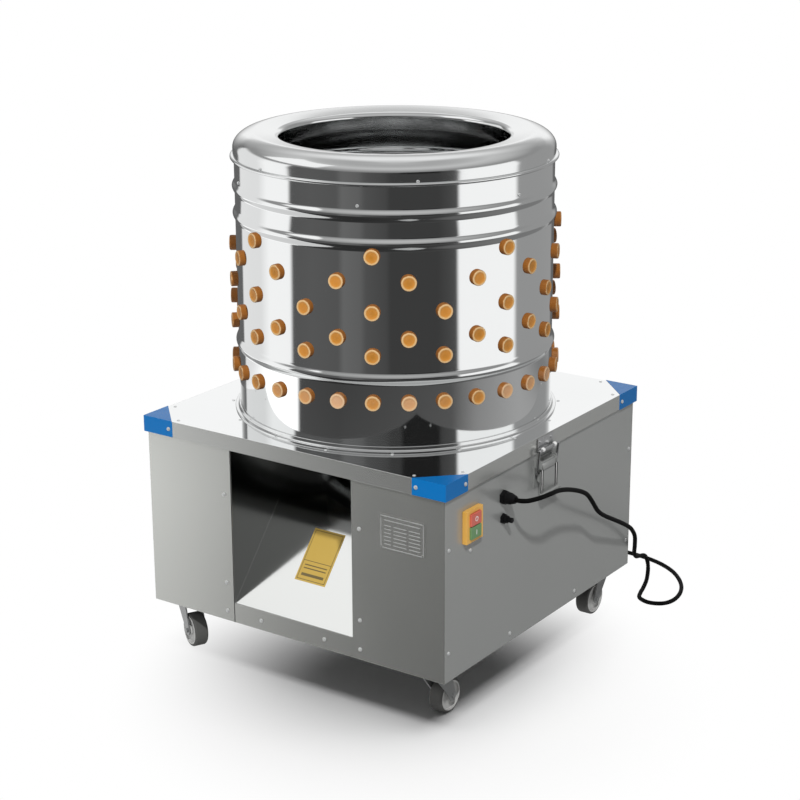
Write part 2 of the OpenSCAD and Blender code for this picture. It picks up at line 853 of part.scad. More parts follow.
// The lever: a face with a curled lip, two cheeks, and the pivot pin that turns in the base's ears
module latch_lever() {
    face_x = pivot_x + 4;
    tip_z = pivot_z - lever_len;
    curl_r = 5;
    color(BRIGHT) translate([0, -latch_y, 0]) difference() {
        union() {
            block([face_x, -lever_w / 2, tip_z], [face_x + lever_t, lever_w / 2, pivot_z - 11]);
            difference() {
                along_y(lever_w / 2, lever_w) difference() {
                    translate([face_x + curl_r, tip_z]) circle(curl_r);
                    translate([face_x + curl_r, tip_z]) circle(curl_r - lever_t);
                }
                block([face_x - past, -lever_w, tip_z], [face_x + 2 * curl_r + past, lever_w, tip_z + 2 * curl_r]);
            }
            for (side = [-1, 1])
                along_y(side * cheek_mid + ear_t / 2, ear_t) union() {
                    translate([pivot_x, pivot_z]) circle(5.5);
                    polygon([[pivot_x - 4, pivot_z - 30], [face_x, pivot_z - 38], [face_x + lever_t, pivot_z - 38],
                        [face_x + lever_t, pivot_z], [pivot_x - 5.5, pivot_z]]);
                }
            translate([pivot_x, 0, pivot_z]) rotate([90, 0, 0])
                cylinder(h = 2 * ear_mid + ear_t + 2, r = pivot_r, center = true);
        }
        translate([pivot_x, 0, pivot_z - bail_drop]) rotate([90, 0, 0])
            cylinder(h = lever_w, r = bail_r + run_clear, center = true);
    }
}

// The bail: a wire loop from the lever up to the keeper, with its two ends turned in
module latch_bail() {
    run_low = [pivot_x, pivot_z - bail_drop];
    run_high = [bail_x, bail_z];
    run = run_high - run_low;
    lean = atan2(run[0], run[1]);
    end_in = bail_mid - cheek_mid + ear_t / 2 + 1;
    color(BRIGHT) translate([0, -latch_y, 0]) {
        translate([bail_x, 0, bail_z]) rotate([90, 0, 0]) cylinder(h = 2 * bail_mid, r = bail_r, center = true);
        for (side = [-1, 1]) {
            translate([run_low[0], side * bail_mid, run_low[1]]) rotate([0, lean, 0])
                cylinder(h = norm(run), r = bail_r);
            translate([run_low[0], side * (bail_mid - end_in / 2), run_low[1]]) rotate([90, 0, 0])
                cylinder(h = end_in, r = bail_r, center = true);
            for (end = [run_low, run_high])
                translate([end[0], side * bail_mid, end[1]]) sphere(bail_r);
        }
    }
}

// The keeper on the deck's flange, with a lip just inside the bail
module latch_keeper() {
    keeper_w = lever_w - 4;
    plate_low = flange_low + 1;
    color(BRIGHT) translate([0, -latch_y, 0]) {
        block([deck_half, -keeper_w / 2, plate_low], [deck_half + 1.5, keeper_w / 2, deck_top - 2]);
        block([deck_half, -keeper_w / 2, plate_low], [deck_half + lip_out, keeper_w / 2, plate_low + 3]);
        for (side = [-1, 1])
            translate([deck_half + 1.5, side * 18, deck_top - 9]) rotate([0, 90, 0])
                cylinder(h = 1.5, r1 = 3, r2 = 2.2);
    }
}

// Hinges, on the side across from the latch

module knuckle(low_y, high_y) {
    translate([hinge_x, high_y, hinge_z]) rotate([90, 0, 0]) cylinder(h = high_y - low_y, r = knuckle_r);
}

module hinge_bore() {
    translate([hinge_x, 0, hinge_z]) rotate([90, 0, 0])
        cylinder(h = hinge_len + 4 * past, r = hinge_pin_r + run_clear, center = true);
}

module hinge_base_leaves() {
    middle = hinge_len * 0.4;
    leaf_out = deck_half + leaf_t;
    color(STEEL) for (y = [-hinge_y, hinge_y])
        translate([0, y, 0]) {
            difference() {
                union() {
                    block([-leaf_out, -hinge_len / 2, hinge_z - knuckle_r - 0.6 - leaf_h],
                        [-base_half, hinge_len / 2, hinge_z - knuckle_r - 0.6]);
                    block([-leaf_out, -middle / 2, hinge_z - knuckle_r - 0.6 - past], [-deck_half, middle / 2, hinge_z]);
                    knuckle(-middle / 2, middle / 2);
                }
                hinge_bore();
            }
            translate([hinge_x, 0, hinge_z]) rotate([90, 0, 0])
                cylinder(h = hinge_len + 2, r = hinge_pin_r, center = true);
        }
}

module hinge_deck_leaves() {
    middle = hinge_len * 0.4;
    leaf_out = deck_half + leaf_t;
    color(STEEL) for (y = [-hinge_y, hinge_y])
        translate([0, y, 0]) difference() {
            union() {
                block([-leaf_out, -hinge_len / 2, hinge_z + knuckle_r + 0.6], [-deck_half, hinge_len / 2, deck_top - 2]);
                for (side = [0, 1])
                    mirror([0, side, 0]) {
                        knuckle(middle / 2 + ease, hinge_len / 2);
                        block([-leaf_out, middle / 2 + ease, hinge_z],
                            [-deck_half, hinge_len / 2, hinge_z + knuckle_r + 0.6 + past]);
                    }
            }
            hinge_bore();
        }
}

// Drive

module spindle_housing() {
    color(GREY) difference() {
        union() {
            translate([0, 0, housing_low]) cylinder(h = housing_h, r = housing_r);
            block([-beam_y - beam_w / 2, -beam_y - beam_w / 2, beam_top],
                [beam_y + beam_w / 2, beam_y + beam_w / 2, beam_top + flange_t]);
        }
        translate([0, 0, housing_low - past]) cylinder(h = housing_h + 2 * past, r = bearing_r);
    }
}

module spindle_bearings() {
    seat = 0.05;
    color(BRIGHT) for (z = [housing_low + 5, housing_top - bearing_h - 5])
        translate([0, 0, z]) difference() {
            cylinder(h = bearing_h, r = bearing_r - seat);
            translate([0, 0, -past]) cylinder(h = bearing_h + 2 * past, r = shaft_r + run_clear);
        }
}

module main_shaft() {
    color(BRIGHT) translate([0, 0, shaft_low]) cylinder(h = shaft_top - shaft_low, r = shaft_r);
}

// A pulley with a groove for the belt, drawn from its lower face
module pulley(seat_r, bore_r) {
    difference() {
        union() {
            cylinder(h = pulley_h, r = seat_r);
            for (z = [0, pulley_h - pulley_rim])
                translate([0, 0, z]) cylinder(h = pulley_rim, r = seat_r + pulley_lip);
        }
        translate([0, 0, -past]) cylinder(h = pulley_h + 2 * past, r = bore_r);
    }
}

module driven_pulley() {
    color(GREY) translate([0, 0, pulley_low]) pulley(driven_r, shaft_r + run_clear);
}

module drive_pulley() {
    color(GREY) translate([0, belt_reach, pulley_low]) pulley(drive_r, motor_shaft_r + run_clear);
}

// The outline of a belt's face at a distance from both pulleys' seats
module belt_outline(off) {
    big = driven_r + off;
    small = drive_r + off;
    lean = asin((big - small) / belt_reach);
    circle(big, $fn = 96);
    translate([0, belt_reach]) circle(small);
    polygon([
        big * [cos(lean), sin(lean)],
        [0, belt_reach] + small * [cos(lean), sin(lean)],
        [0, belt_reach] + small * [-cos(lean), sin(lean)],
        big * [-cos(lean), sin(lean)]
    ]);
}

module drive_belt() {
    color(BLACK) translate([0, 0, belt_low]) linear_extrude(belt_w) difference() {
        belt_outline(belt_clear + belt_t);
        belt_outline(belt_clear);
    }
}

// The motor hangs under the beams on a plate with four studs
module motor_plate() {
    front = beam_y - beam_w / 2;
    back = rear_beam_y + beam_w / 2;
    color(ZINC) {
        difference() {
            block([-stud_x - 15, front, motor_plate_low], [stud_x + 15, back, motor_plate_top]);
            translate([0, belt_reach, motor_plate_low - past])
                cylinder(h = motor_plate_t + 2 * past, r = motor_shaft_r + 10);
        }
        for (sx = [-1, 1], y = [beam_y, rear_beam_y])
            translate([sx * stud_x, y, motor_plate_top]) cylinder(h = beam_top - angle_t - motor_plate_top, r = stud_r);
    }
}

module motor_body() {
    fin_r = motor_r + 4;
    color(GREY) translate([0, belt_reach, motor_plate_top]) difference() {
        union() {
            cylinder(h = motor_flange_t, r = motor_r + 12);
            translate([0, 0, motor_flange_t]) cylinder(h = motor_h, r = motor_r);
            for (i = [1 : 6])
                translate([0, 0, motor_flange_t + i * motor_h / 7]) cylinder(h = 3, r = fin_r);
        }
        translate([0, 0, -past]) cylinder(h = motor_h, r = motor_shaft_r + run_clear);
    }
}

module motor_fan_cover() {
    wall = 1.5;
    color(BLACK) translate([0, belt_reach, motor_top]) difference() {
        cylinder(h = fan_cover_h, r = motor_r);
        translate([0, 0, -past]) cylinder(h = fan_cover_h - wall + past, r = motor_r - wall);
        for (turn = [0 : 60 : 300])
            rotate([0, 0, turn]) translate([motor_r * 0.55, 0, 0]) cylinder(h = fan_cover_h + past, r = 8);
    }
}

module motor_shaft() {
    color(BRIGHT) translate([0, belt_reach, shaft_low])
        cylinder(h = motor_plate_top + motor_h - 20 - shaft_low, r = motor_shaft_r);
}

// Turntable

module plate_finger_places() {
    for (i = [0 : count_in - 1])
        rotate([0, 0, 360 * (i + 0.5) / count_in]) translate([ring_in, 0, plate_z]) children();
    for (i = [0 : count_out - 1])
        rotate([0, 0, 360 * (i + 0.5) / count_out]) translate([ring_out, 0, plate_z]) children();
}

// The turntable has a turned-down edge and a hole for each finger
module turntable_plate() {
    edge = 3;
    color(BRIGHT) difference() {
        union() {
            translate([0, 0, plate_z]) cylinder(h = plate_t - edge, r = turntable_r, $fn = 96);
            translate([0, 0, plate_z + plate_t - edge])
                cylinder(h = edge, r1 = turntable_r, r2 = turntable_r - edge, $fn = 96);
        }
        translate([0, 0, plate_z - past]) cylinder(h = plate_t + 2 * past, r = shaft_r + run_clear);
        plate_finger_places()
            translate([0, 0, -past]) cylinder(h = plate_t + 2 * past, r = neck_d / 2 + neck_clear);
    }
}

// The hub under the turntable, and the washer and nut over it
module turntable_hub() {
    color(ZINC) {
        translate([0, 0, plate_z - hub_h]) difference() {
            cylinder(h = hub_h, r = hub_r);
            translate([0, 0, -past]) cylinder(h = hub_h + 2 * past, r = shaft_r + run_clear);
        }
        translate([0, 0, plate_top]) difference() {
            union() {
                cylinder(h = washer_t, r = shaft_r * 2);
                translate([0, 0, washer_t]) cylinder(h = nut_h, r = shaft_r * 1.6, $fn = 6);
            }
            translate([0, 0, -past]) cylinder(h = washer_t + nut_h + 2 * past, r = shaft_r + run_clear);
        }
    }
}

// A rubber finger along +Z: its head under the sheet, its neck in the hole, then a collar and ribs
module finger(grip) {
    head_r = head_d / 2;
    start = grip + collar_h;
    pitch = (finger_len - collar_h - tip_len) / ribs;
    taper = (root_d - tip_d) / 2 / ribs;
    rotate_extrude($fn = 32) polygon(concat(
        [[0, -head_h], [head_r - rim_round, -head_h], [head_r, rim_round - head_h], [head_r, 0],
            [neck_d / 2, 0], [neck_d / 2, grip], [collar_d / 2, grip], [collar_d / 2, start]],
        [for (i = [0 : ribs - 1], corner = [[0, 1], [0.45, 1], [0.55, 0], [0.95, 0]])
            [root_d / 2 - taper * i - rib_depth * corner[1], start + pitch * (i + corner[0])]],
        [[tip_d / 2 - rib_depth, start + pitch * ribs], [tip_d / 2 - rib_depth, start + pitch * ribs + tip_len - 3],
            [tip_d / 2 - rib_depth - 3, start + pitch * ribs + tip_len], [0, start + pitch * ribs + tip_len]]
    ));
}

module plate_fingers() {
    color(RUBBER) plate_finger_places() finger(plate_t);
}

// Sweeps under the turntable push the feathers round the pan to the chute
module feather_sweeps() {
    color(BLACK) for (i = [0 : sweeps - 1])
        rotate([0, 0, 360 * i / sweeps])
            block([hub_r + 3, -sweep_t / 2, sweep_low], [turntable_r - 8, sweep_t / 2, plate_z]);
}

// Deck

module deck_plate() {
    color(BRIGHT) difference() {
        block([-deck_half, -deck_half, flange_low], [deck_half, deck_half, deck_top]);
        block([-flange_in, -flange_in, flange_low - past], [flange_in, flange_in, deck_under]);
        translate([0, 0, deck_under - past]) cylinder(h = deck_t + 2 * past, r = deck_hole_r, $fn = 96);
    }
}

// A corner cap: a triangle on the deck and a strip down each side
module corner_caps() {
    reach = cap_half - cap_leg;
    color(BLUE) for (sx = [0, 1], sy = [0, 1])
        mirror([sx, 0, 0]) mirror([0, sy, 0]) {
            translate([0, 0, deck_top]) linear_extrude(cap_t)
                polygon([[cap_half, cap_half], [reach, cap_half], [cap_half, reach]]);
            block([deck_half, reach, flange_low], [cap_half, cap_half, deck_top]);
            block([reach, deck_half, flange_low], [cap_half, cap_half, deck_top]);
        }
}

// The heads on the deck: cap screws, cap rivets, foot bolts, rim screws and the shell's screws
module deck_screws() {
    cap_screw = cap_half - cap_leg + 8;
    rivet_at = cap_half - cap_leg - 4;
    rivet_in = deck_half - 12;
    color(BRIGHT) {
        for (turn = [0 : 90 : 270], side = [-1, 1])
            rotate([0, 0, turn]) {
                translate([cap_half, side * cap_screw, flange_low + flange_h / 2]) rotate([0, 90, 0]) screw_head();
                translate([rivet_in, side * rivet_at, deck_top]) cylinder(h = 1.2, r1 = 3, r2 = 2);
            }
        for (i = [0 : foot_bolts - 1])
            rotate([0, 0, 360 * (i + 0.5) / foot_bolts]) translate([foot_bolt_r, 0, deck_top + foot_t])
                cylinder(h = 4, r = 5, $fn = 6);
        for (i = [0 : rim_screws - 1])
            rotate([0, 0, column_turn + 8 + 360 * i / rim_screws]) translate([skirt_r, 0, skirt_low + 10.5])
                rotate([0, 90, 0]) cylinder(h = screw_h, r1 = screw_r * 0.8, r2 = screw_r * 0.6);
        for (i = [0 : rim_screws - 1])
            rotate([0, 0, column_turn - 5 + 360 * i / rim_screws])
                translate([drum_r, 0, deck_top + bead_high + bead_half + 7])
                    rotate([0, 90, 0]) cylinder(h = screw_h, r1 = screw_r * 0.8, r2 = screw_r * 0.6);
    }
}

// Drum

// One side of the shell's wall from the bottom up, with the beads as smooth waves
function wall_side(r) = concat(
    [[r, deck_top]],
    [for (h = bead_heights, i = [-bead_steps / 2 : bead_steps / 2])
        let (u = 2 * i / bead_steps)
        [r + bead_r * (1 + cos(180 * u)) / 2, deck_top + h + bead_half * u]],
    [[r, shell_top]]
);

function backwards(v) = [for (i = [len(v) - 1 : -1 : 0]) v[i]];

// Children at each finger's place on the drum, with +Z pointing inwards
module drum_finger_places() {
    for (row = rows, k = row[1])
        rotate([0, 0, column_turn + 360 * k / columns]) translate([drum_r, 0, deck_top + row[0]])
            rotate([0, -90, 0]) children();
}

module drum_shell() {
    color(BRIGHT) difference() {
        rotate_extrude($fn = 128) polygon(concat(wall_side(drum_r), backwards(wall_side(drum_in))));
        drum_finger_places()
            translate([0, 0, -past]) cylinder(h = drum_t + 4 * past, r = neck_d / 2 + neck_clear);
    }
}

module drum_fingers() {
    color(RUBBER) drum_finger_places() finger(drum_t + finger_seat);
}

// An angle ring round the drum's foot
module drum_foot_ring() {
    color(BRIGHT) rotate_extrude($fn = 128)
        polygon([[foot_in, deck_top], [foot_in + foot_w, deck_top], [foot_in + foot_w, deck_top + foot_t],
            [foot_in + foot_t, deck_top + foot_t], [foot_in + foot_t, deck_top + foot_h], [foot_in, deck_top + foot_h]]);
}

// Points on a quarter or half oval, from one angle to another
function oval(x, z, across, up, from, to, steps) = [
    for (i = [0 : steps])
        let (a = from + (to - from) * i / steps)
        [x + across * cos(a), z + up * sin(a)]
];

// One side of the rim's sheet, from the skirt over the ridge to the mouth's lip
function rim_side(skirt, in, steps) = concat(
    oval(ridge_r, rim_turn_z, skirt - ridge_r, shell_top + rim_rise - in - rim_turn_z, 0, 90, steps),
    oval(mouth_r + mouth_curve, mouth_top, mouth_curve - in, mouth_curve - in, 90, 180, steps)
);

module rim_cap() {
    color(BRIGHT) rotate_extrude($fn = 128) polygon(concat(
        oval(skirt_r, skirt_low + hem_half, hem_out, hem_half, -90, 90, 8),
        rim_side(skirt_r, 0, 8),
        [[mouth_r, mouth_top - mouth_len], [mouth_r + rim_t, mouth_top - mouth_len]],
        backwards(rim_side(skirt_in, rim_t, 8)),
        [[skirt_in, skirt_low]]
    ));
}

// Casters

module caster_place(i) {
    translate([casters[i][0] * caster_at, casters[i][1] * caster_at, 0]) children();
}

// A top plate with its raceway and kingpin
module caster_plates() {
    half = caster_plate_w / 2;
    color(ZINC) for (i = [0 : 3])
        caster_place(i) {
            block([-half, -half, panel_bottom - caster_plate_t], [half, half, panel_bottom]);
            translate([0, 0, cup_low]) cylinder(h = cup_h, r = cup_r);
            translate([0, 0, crown_low - ease - kingpin_head_h])
                cylinder(h = cup_low - crown_low + ease + kingpin_head_h, r = kingpin_r);
            translate([0, 0, crown_low - ease - kingpin_head_h]) cylinder(h = kingpin_head_h, r = kingpin_r + 3.5);
        }
}

// A fork: a crown on the kingpin, a leg each side of the wheel, and the axle
module caster_fork(i) {
    crown_half = 19;
    foot_r = 9;
    color(ZINC) caster_place(i) rotate([0, 0, casters[i][2]]) {
        difference() {
            block([-crown_half, -fork_in - fork_t, crown_low], [crown_half, fork_in + fork_t, crown_top]);
            translate([0, 0, crown_low - past]) cylinder(h = crown_h + 2 * past, r = kingpin_r + run_clear);
        }
        for (y = [-fork_in, fork_in + fork_t])
            along_y(y, fork_t) union() {
                translate([trail, wheel_r]) circle(foot_r);
                polygon([[-crown_half, crown_low + past], [crown_half, crown_low + past],
                    [trail + foot_r, wheel_r], [trail - foot_r, wheel_r]]);
            }
        translate([trail, 0, wheel_r]) rotate([90, 0, 0])
            cylinder(h = 2 * (fork_in + fork_t) + 6, r = axle_r, center = true);
    }
}

// A wheel with a rounded tread and a hollow each side of its hub
module caster_wheel(i) {
    half = wheel_w / 2;
    bore = axle_r + run_clear;
    hub = axle_r + 5;
    rim_in = wheel_r - 7;
    hollow = 4;
    color(GREY) caster_place(i) rotate([0, 0, casters[i][2]]) translate([trail, 0, wheel_r]) rotate([90, 0, 0])
        rotate_extrude() polygon(concat(
            [[bore, -half], [hub, -half], [hub, hollow - half], [rim_in, hollow - half], [rim_in, -half]],
            oval(wheel_r - tread_round, tread_round - half, tread_round, tread_round, -90, 0, 4),
            oval(wheel_r - tread_round, half - tread_round, tread_round, tread_round, 0, 90, 4),
            [[rim_in, half], [rim_in, half - hollow], [hub, half - hollow], [hub, half], [bore, half]]
        ));
}

module front_left_fork() { caster_fork(0); }
module front_right_fork() { caster_fork(1); }
module rear_left_fork() { caster_fork(2); }
module rear_right_fork() { caster_fork(3); }
module front_left_wheel() { caster_wheel(0); }
module front_right_wheel() { caster_wheel(1); }
module rear_left_wheel() { caster_wheel(2); }
module rear_right_wheel() { caster_wheel(3); }

// Cord

module mains_cord() {
    color(BLACK) tube(spline(cord_route, cord_steps), cord_r, cord_sides, [1, 0, 0], [-1, 0, 0]);
}

module cord_coil() {
    color(BLACK) tube(coil_path, cord_r, coil_sides, [-1, 0, 0], [1, 0, 0]);
}

// A band round the coil's turns, where they lie two by two
module cord_tie() {
    tie_in = coil_in + 0.25 * coil_pitch - cord_r - tie_ease;
    tie_out = coil_r - 0.75 * coil_pitch + cord_r + tie_ease;
    top = coil_z + coil_pitch + cord_r + tie_ease;
    color(BLACK) translate([coil_x, coil_y, 0]) difference() {
        block([tie_in - tie_t, -tie_w / 2, 0], [tie_out + tie_t, tie_w / 2, top + tie_t]);
        block([tie_in, -tie_w, tie_t], [tie_out, tie_w, top]);
    }
}

// A plug with a tapered strain relief and two round pins, lying beside the coil
module plug() {
    relief_len = 30;
    body_len = 36;
    body_half = coil_last[2];
    pin_len = 19;
    color(BLACK) translate(coil_last) rotate([0, 90, 0]) {
        cylinder(h = relief_len, r1 = cord_r + 0.8, r2 = cord_r + 4);
        translate([0, 0, relief_len]) cylinder(h = body_len, r = body_half);
        for (side = [-1, 1])
            translate([0, side * 6, relief_len + body_len]) cylinder(h = pin_len, r = 2);
    }
}

bottom_frame();
corner_posts();
top_frame();
drive_frame();
front_left_panel();
front_right_panel();
front_sill();
left_panel();
right_panel();
rear_panel();
feather_chute();
feather_pan();
panel_screws();
data_plate();
switch_housing();
stop_button();
start_button();
overload_breaker();
reset_button();
cable_gland();
latch_base();
latch_lever();
latch_bail();
latch_keeper();
hinge_base_leaves();
hinge_deck_leaves();
spindle_housing();
spindle_bearings();
main_shaft();
driven_pulley();
drive_belt();
motor_plate();
motor_body();
motor_fan_cover();
motor_shaft();
drive_pulley();
turntable_plate();
turntable_hub();
plate_fingers();
feather_sweeps();
deck_plate();
corner_caps();
deck_screws();
drum_shell();
drum_foot_ring();
rim_cap();
drum_fingers();
caster_plates();
front_left_fork();
front_right_fork();
rear_left_fork();
rear_right_fork();
front_left_wheel();
front_right_wheel();
rear_left_wheel();
rear_right_wheel();
mains_cord();
cord_coil();
cord_tie();
plug();
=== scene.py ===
# %% [markdown]
# # A drum poultry plucker
# The machine is a polished drum full of rubber fingers, on a deck that tilts, over a wheeled base of
# sheet steel. Its solids are already made and packed. This lesson loads them as a fixed frame and
# gives every surface the look of the photograph.

# %% Load the frame
import json
import math

import bmesh
import bpy
from mathutils import Matrix, Vector


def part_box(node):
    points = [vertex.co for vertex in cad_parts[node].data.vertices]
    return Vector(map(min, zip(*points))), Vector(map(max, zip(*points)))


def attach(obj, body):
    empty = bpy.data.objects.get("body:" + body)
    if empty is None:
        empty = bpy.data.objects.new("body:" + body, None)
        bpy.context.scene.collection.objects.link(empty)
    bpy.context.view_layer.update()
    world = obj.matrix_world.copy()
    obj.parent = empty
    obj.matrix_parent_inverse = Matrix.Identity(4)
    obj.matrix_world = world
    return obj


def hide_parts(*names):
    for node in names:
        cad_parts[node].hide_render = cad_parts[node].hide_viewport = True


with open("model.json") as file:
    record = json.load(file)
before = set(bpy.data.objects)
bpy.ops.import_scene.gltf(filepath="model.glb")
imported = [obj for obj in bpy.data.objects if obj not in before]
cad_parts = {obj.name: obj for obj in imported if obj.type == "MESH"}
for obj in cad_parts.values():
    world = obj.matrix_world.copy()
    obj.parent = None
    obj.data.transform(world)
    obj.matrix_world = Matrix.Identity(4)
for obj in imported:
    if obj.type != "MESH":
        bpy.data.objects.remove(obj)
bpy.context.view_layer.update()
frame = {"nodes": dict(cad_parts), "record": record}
nodes = frame["nodes"]
MM = 0.001
scene = bpy.context.scene
scene.view_settings.view_transform = "Standard"
print("loaded", len(nodes), "solids")

# %% [markdown]
# ## Camera
# The photograph was taken from the front right and a little above, with a long lens. The camera is
# placed by the angle it looks from, its distance and the point it looks at, all worked out from the
# machine's straight edges.

# %% Camera
VIEW_AZIMUTH = 34.82
VIEW_ELEVATION = 17.83
VIEW_ROLL = -0.24
VIEW_DISTANCE = 3513.1 * MM
VIEW_TARGET = Vector((6.3, 4.4, 433.1)) * MM
FOCAL_PIXELS = 1971.07
IMAGE_WIDTH = 800
SENSOR_WIDTH = 36.0

azimuth = math.radians(VIEW_AZIMUTH)
elevation = math.radians(VIEW_ELEVATION)
turn = Matrix.Rotation(azimuth, 4, "Z") @ Matrix.Rotation(math.pi / 2 - elevation, 4, "X")
view_right, view_back = turn.col[0].xyz, turn.col[2].xyz
lens = bpy.data.cameras.new("camera")
lens.sensor_width = SENSOR_WIDTH
lens.lens = FOCAL_PIXELS / IMAGE_WIDTH * SENSOR_WIDTH
camera = bpy.data.objects.new("camera", lens)
roll = Matrix.Rotation(math.radians(VIEW_ROLL), 4, "Z")
camera.matrix_world = Matrix.Translation(VIEW_TARGET + view_back * VIEW_DISTANCE) @ turn @ roll
scene.collection.objects.link(camera)
scene.camera = camera
print("lens", round(lens.lens, 2), "mm")

# %% [markdown]
# ## Shader maths
# A finish is a small sum of noises, stripes and masks. Blender keeps such a sum as a tree of nodes,
# which is long to write by hand. A `Wire` wraps one socket, so that `1 - mask * 0.5` adds the Math
# nodes by itself. A `Graph` makes any other node, and a `Finish` is the graph of a material.

# %% Shader kit


def sign(operation, swapped=False):
    """An operator of Wire: a Math node that takes the wire first or, if swapped, second."""

    def apply(wire, other):
        pair = {int(swapped): wire, int(not swapped): other}
        return wire.graph.node("ShaderNodeMath", {"operation": operation}, pair)

    return apply


class Wire:
    """A socket of a graph, with the operators of plain maths."""

    def __init__(self, graph, socket):
        self.graph = graph
        self.socket = socket

    __add__, __radd__ = sign("ADD"), sign("ADD", True)
    __sub__, __rsub__ = sign("SUBTRACT"), sign("SUBTRACT", True)
    __mul__, __pow__ = sign("MULTIPLY"), sign("POWER")


class Graph:
    """A tree of nodes that is fed by plain expressions."""

    def __init__(self, tree):
        self.tree = tree

    def node(self, kind, settings=None, inputs=None, out=0):
        made = self.tree.nodes.new(kind)
        for key, value in (settings or {}).items():
            setattr(made, key, value)
        for key, value in (inputs or {}).items():
            self.feed(made.inputs[key], value)
        return Wire(self, made.outputs[out]) if made.outputs else None

    def feed(self, socket, value):
        if isinstance(value, Wire):
            self.tree.links.new(value.socket, socket)
        else:
            socket.default_value = value


class Finish(Graph):
    """A material whose Principled shader is fed by plain expressions."""

    def __init__(self, name):
        self.material = bpy.data.materials.new(name)
        self.material.use_nodes = True
        super().__init__(self.material.node_tree)
        self.shader = self.tree.nodes["Principled BSDF"]

    def set(self, **sockets):
        for key, value in sockets.items():
            name = key.replace("_", " ").title().replace("Ior", "IOR")
            self.feed(self.shader.inputs[name], value)

    def surface(self, wire):
        """Shows a glowing shader in place of the plain one. It is no lamp."""
        self.feed(self.tree.nodes["Material Output"].inputs["Surface"], wire)
        self.material.cycles.emission_sampling = "NONE"

    def place(self, stretch=(1, 1, 1)):
        """The point on the piece, in metres, stretched along each axis."""
        point = self.node("ShaderNodeTexCoord", out="Object")
        return self.node("ShaderNodeMapping", inputs={"Vector": point, "Scale": stretch})

    def noise(self, scale, stretch=(1, 1, 1), detail=3.0):
        inputs = {"Vector": self.place(stretch), "Scale": scale, "Detail": detail}
        return self.node("ShaderNodeTexNoise", {}, inputs, "Fac")

    def attribute(self, name):
        return self.node("ShaderNodeAttribute", {"attribute_name": name}, out="Fac")

    def blend(self, factor, first, second):
        first, second = (c if isinstance(c, Wire) else (*c, 1) for c in (first, second))
        inputs = {"Factor": factor, 6: first, 7: second}
        return self.node("ShaderNodeMix", {"data_type": "RGBA"}, inputs, 2)

    def ramp(self, value, stops):
        made = self.node("ShaderNodeValToRGB", inputs={"Fac": value}, out="Color")
        elements = made.socket.node.color_ramp.elements
        while len(elements) < len(stops):
            elements.new(0.5)
        for element, (place, colour) in zip(elements, stops):
            element.position = place
            element.color = (*colour, 1)
        return made

    def bump(self, height, strength=0.5):
        inputs = {"Height": height, "Distance": 1 * MM, "Strength": strength}
        self.set(normal=self.node("ShaderNodeBump", {}, inputs, "Normal"))


print("shader kit ready")

# %% [markdown]
# ## Finishes
# Stainless sheet comes in two kinds here. The drum, deck and chute are polished and act as
# mirrors with a faint waviness. The panels of the base keep a satin grain from rolling. Both come
# from one recipe: a metal, a grain of noise stretched along the rolling direction that changes the
# roughness and tint, and a slow wave in the bump.

# %% Steel finishes


def steel(name, tint, rough, grain, grain_scale, uneven, wave=0.0, metallic=1.0, pits=0.0):
    """Metal with a directional grain, cloudy handling marks, a slow wave of the sheet or cast pits."""
    finish = Finish(name)
    lines = finish.noise(grain_scale, grain)
    clouds = finish.noise(6.0, detail=4.0)
    dark = [c * 0.97 for c in tint]
    light = [min(1, c * 1.03) for c in tint]
    finish.set(base_color=finish.blend(lines * 0.2 + clouds * 0.8, dark, light), metallic=metallic)
    finish.set(roughness=rough + (lines * 0.3 + clouds - 0.65) * uneven)
    if wave:
        finish.bump(finish.noise(3.5, (1, 1, 0.5), 1.0) * wave)
    elif pits:
        finish.bump(lines * pits)
    return finish.material


ALONG_X, ALONG_Z, EVEN = (0.02, 1, 1), (1, 1, 0.02), (1, 1, 1)
DRUM_STEEL = steel("drum_steel", (0.83, 0.84, 0.84), 0.07, ALONG_Z, 420, 0.03, wave=1.2)
DECK_STEEL = steel("deck_steel", (0.89, 0.90, 0.90), 0.06, ALONG_X, 420, 0.03, wave=0.6)
RIM_STEEL = steel("rim_steel", (0.83, 0.84, 0.84), 0.11, (0.3, 0.3, 1), 220, 0.04, wave=0.6)
CHUTE_STEEL = steel("chute_steel", (0.79, 0.80, 0.785), 0.10, ALONG_X, 420, 0.04, wave=0.4)
FLANGE_STEEL = steel("flange_steel", (0.64, 0.65, 0.63), 0.25, (0.02, 0.02, 1), 420, 0.04, 0.3, 0.88)
PANEL_STEEL = steel("panel_steel", (0.70, 0.71, 0.68), 0.24, ALONG_Z, 420, 0.04, 0.3, 0.9)
# The side panels are the same sheet as the front ones in a darker copy: painted shade on the sides
SHADED_SIDE_STEEL = steel("side_panel_steel_painted_shade", (0.42, 0.43, 0.42), 0.26, ALONG_Z, 420, 0.04, 0.3, 0.5)
# The chute's side walls: its polished sheet in a dark copy, painted shade for the dark inside of the base
SHADED_WALL_STEEL = steel("chute_wall_painted_shade", (0.25, 0.255, 0.25), 0.13, ALONG_X, 420, 0.04, 1.6)
FITTING_STEEL = steel("fitting_steel", (0.66, 0.665, 0.67), 0.2, EVEN, 260, 0.1, pits=0.004)
SCREW_STEEL = steel("screw_steel", (0.74, 0.75, 0.75), 0.34, EVEN, 400, 0.1, metallic=0.6)
ZINC_STEEL = steel("zinc_steel", (0.33, 0.335, 0.335), 0.34, EVEN, 90, 0.16, metallic=0.7, pits=0.01)
# Pale, dull metal for the latch's bead and collars: a painted highlight
LATCH_PAINTED_HIGHLIGHT = steel("latch_painted_highlight", (0.86, 0.86, 0.85), 0.3, EVEN, 400, 0.1, metallic=0.25)
CAST_METAL = steel("cast_metal", (0.42, 0.43, 0.44), 0.45, EVEN, 160, 0.18, pits=0.1)
print("steel finishes made")

# %% [markdown]
# Paint, plastic and rubber are the other family. Each is a coloured body with a fine texture, a
# little unevenness in its gloss and wear that pales it.

# %% Paint, plastic and rubber finishes


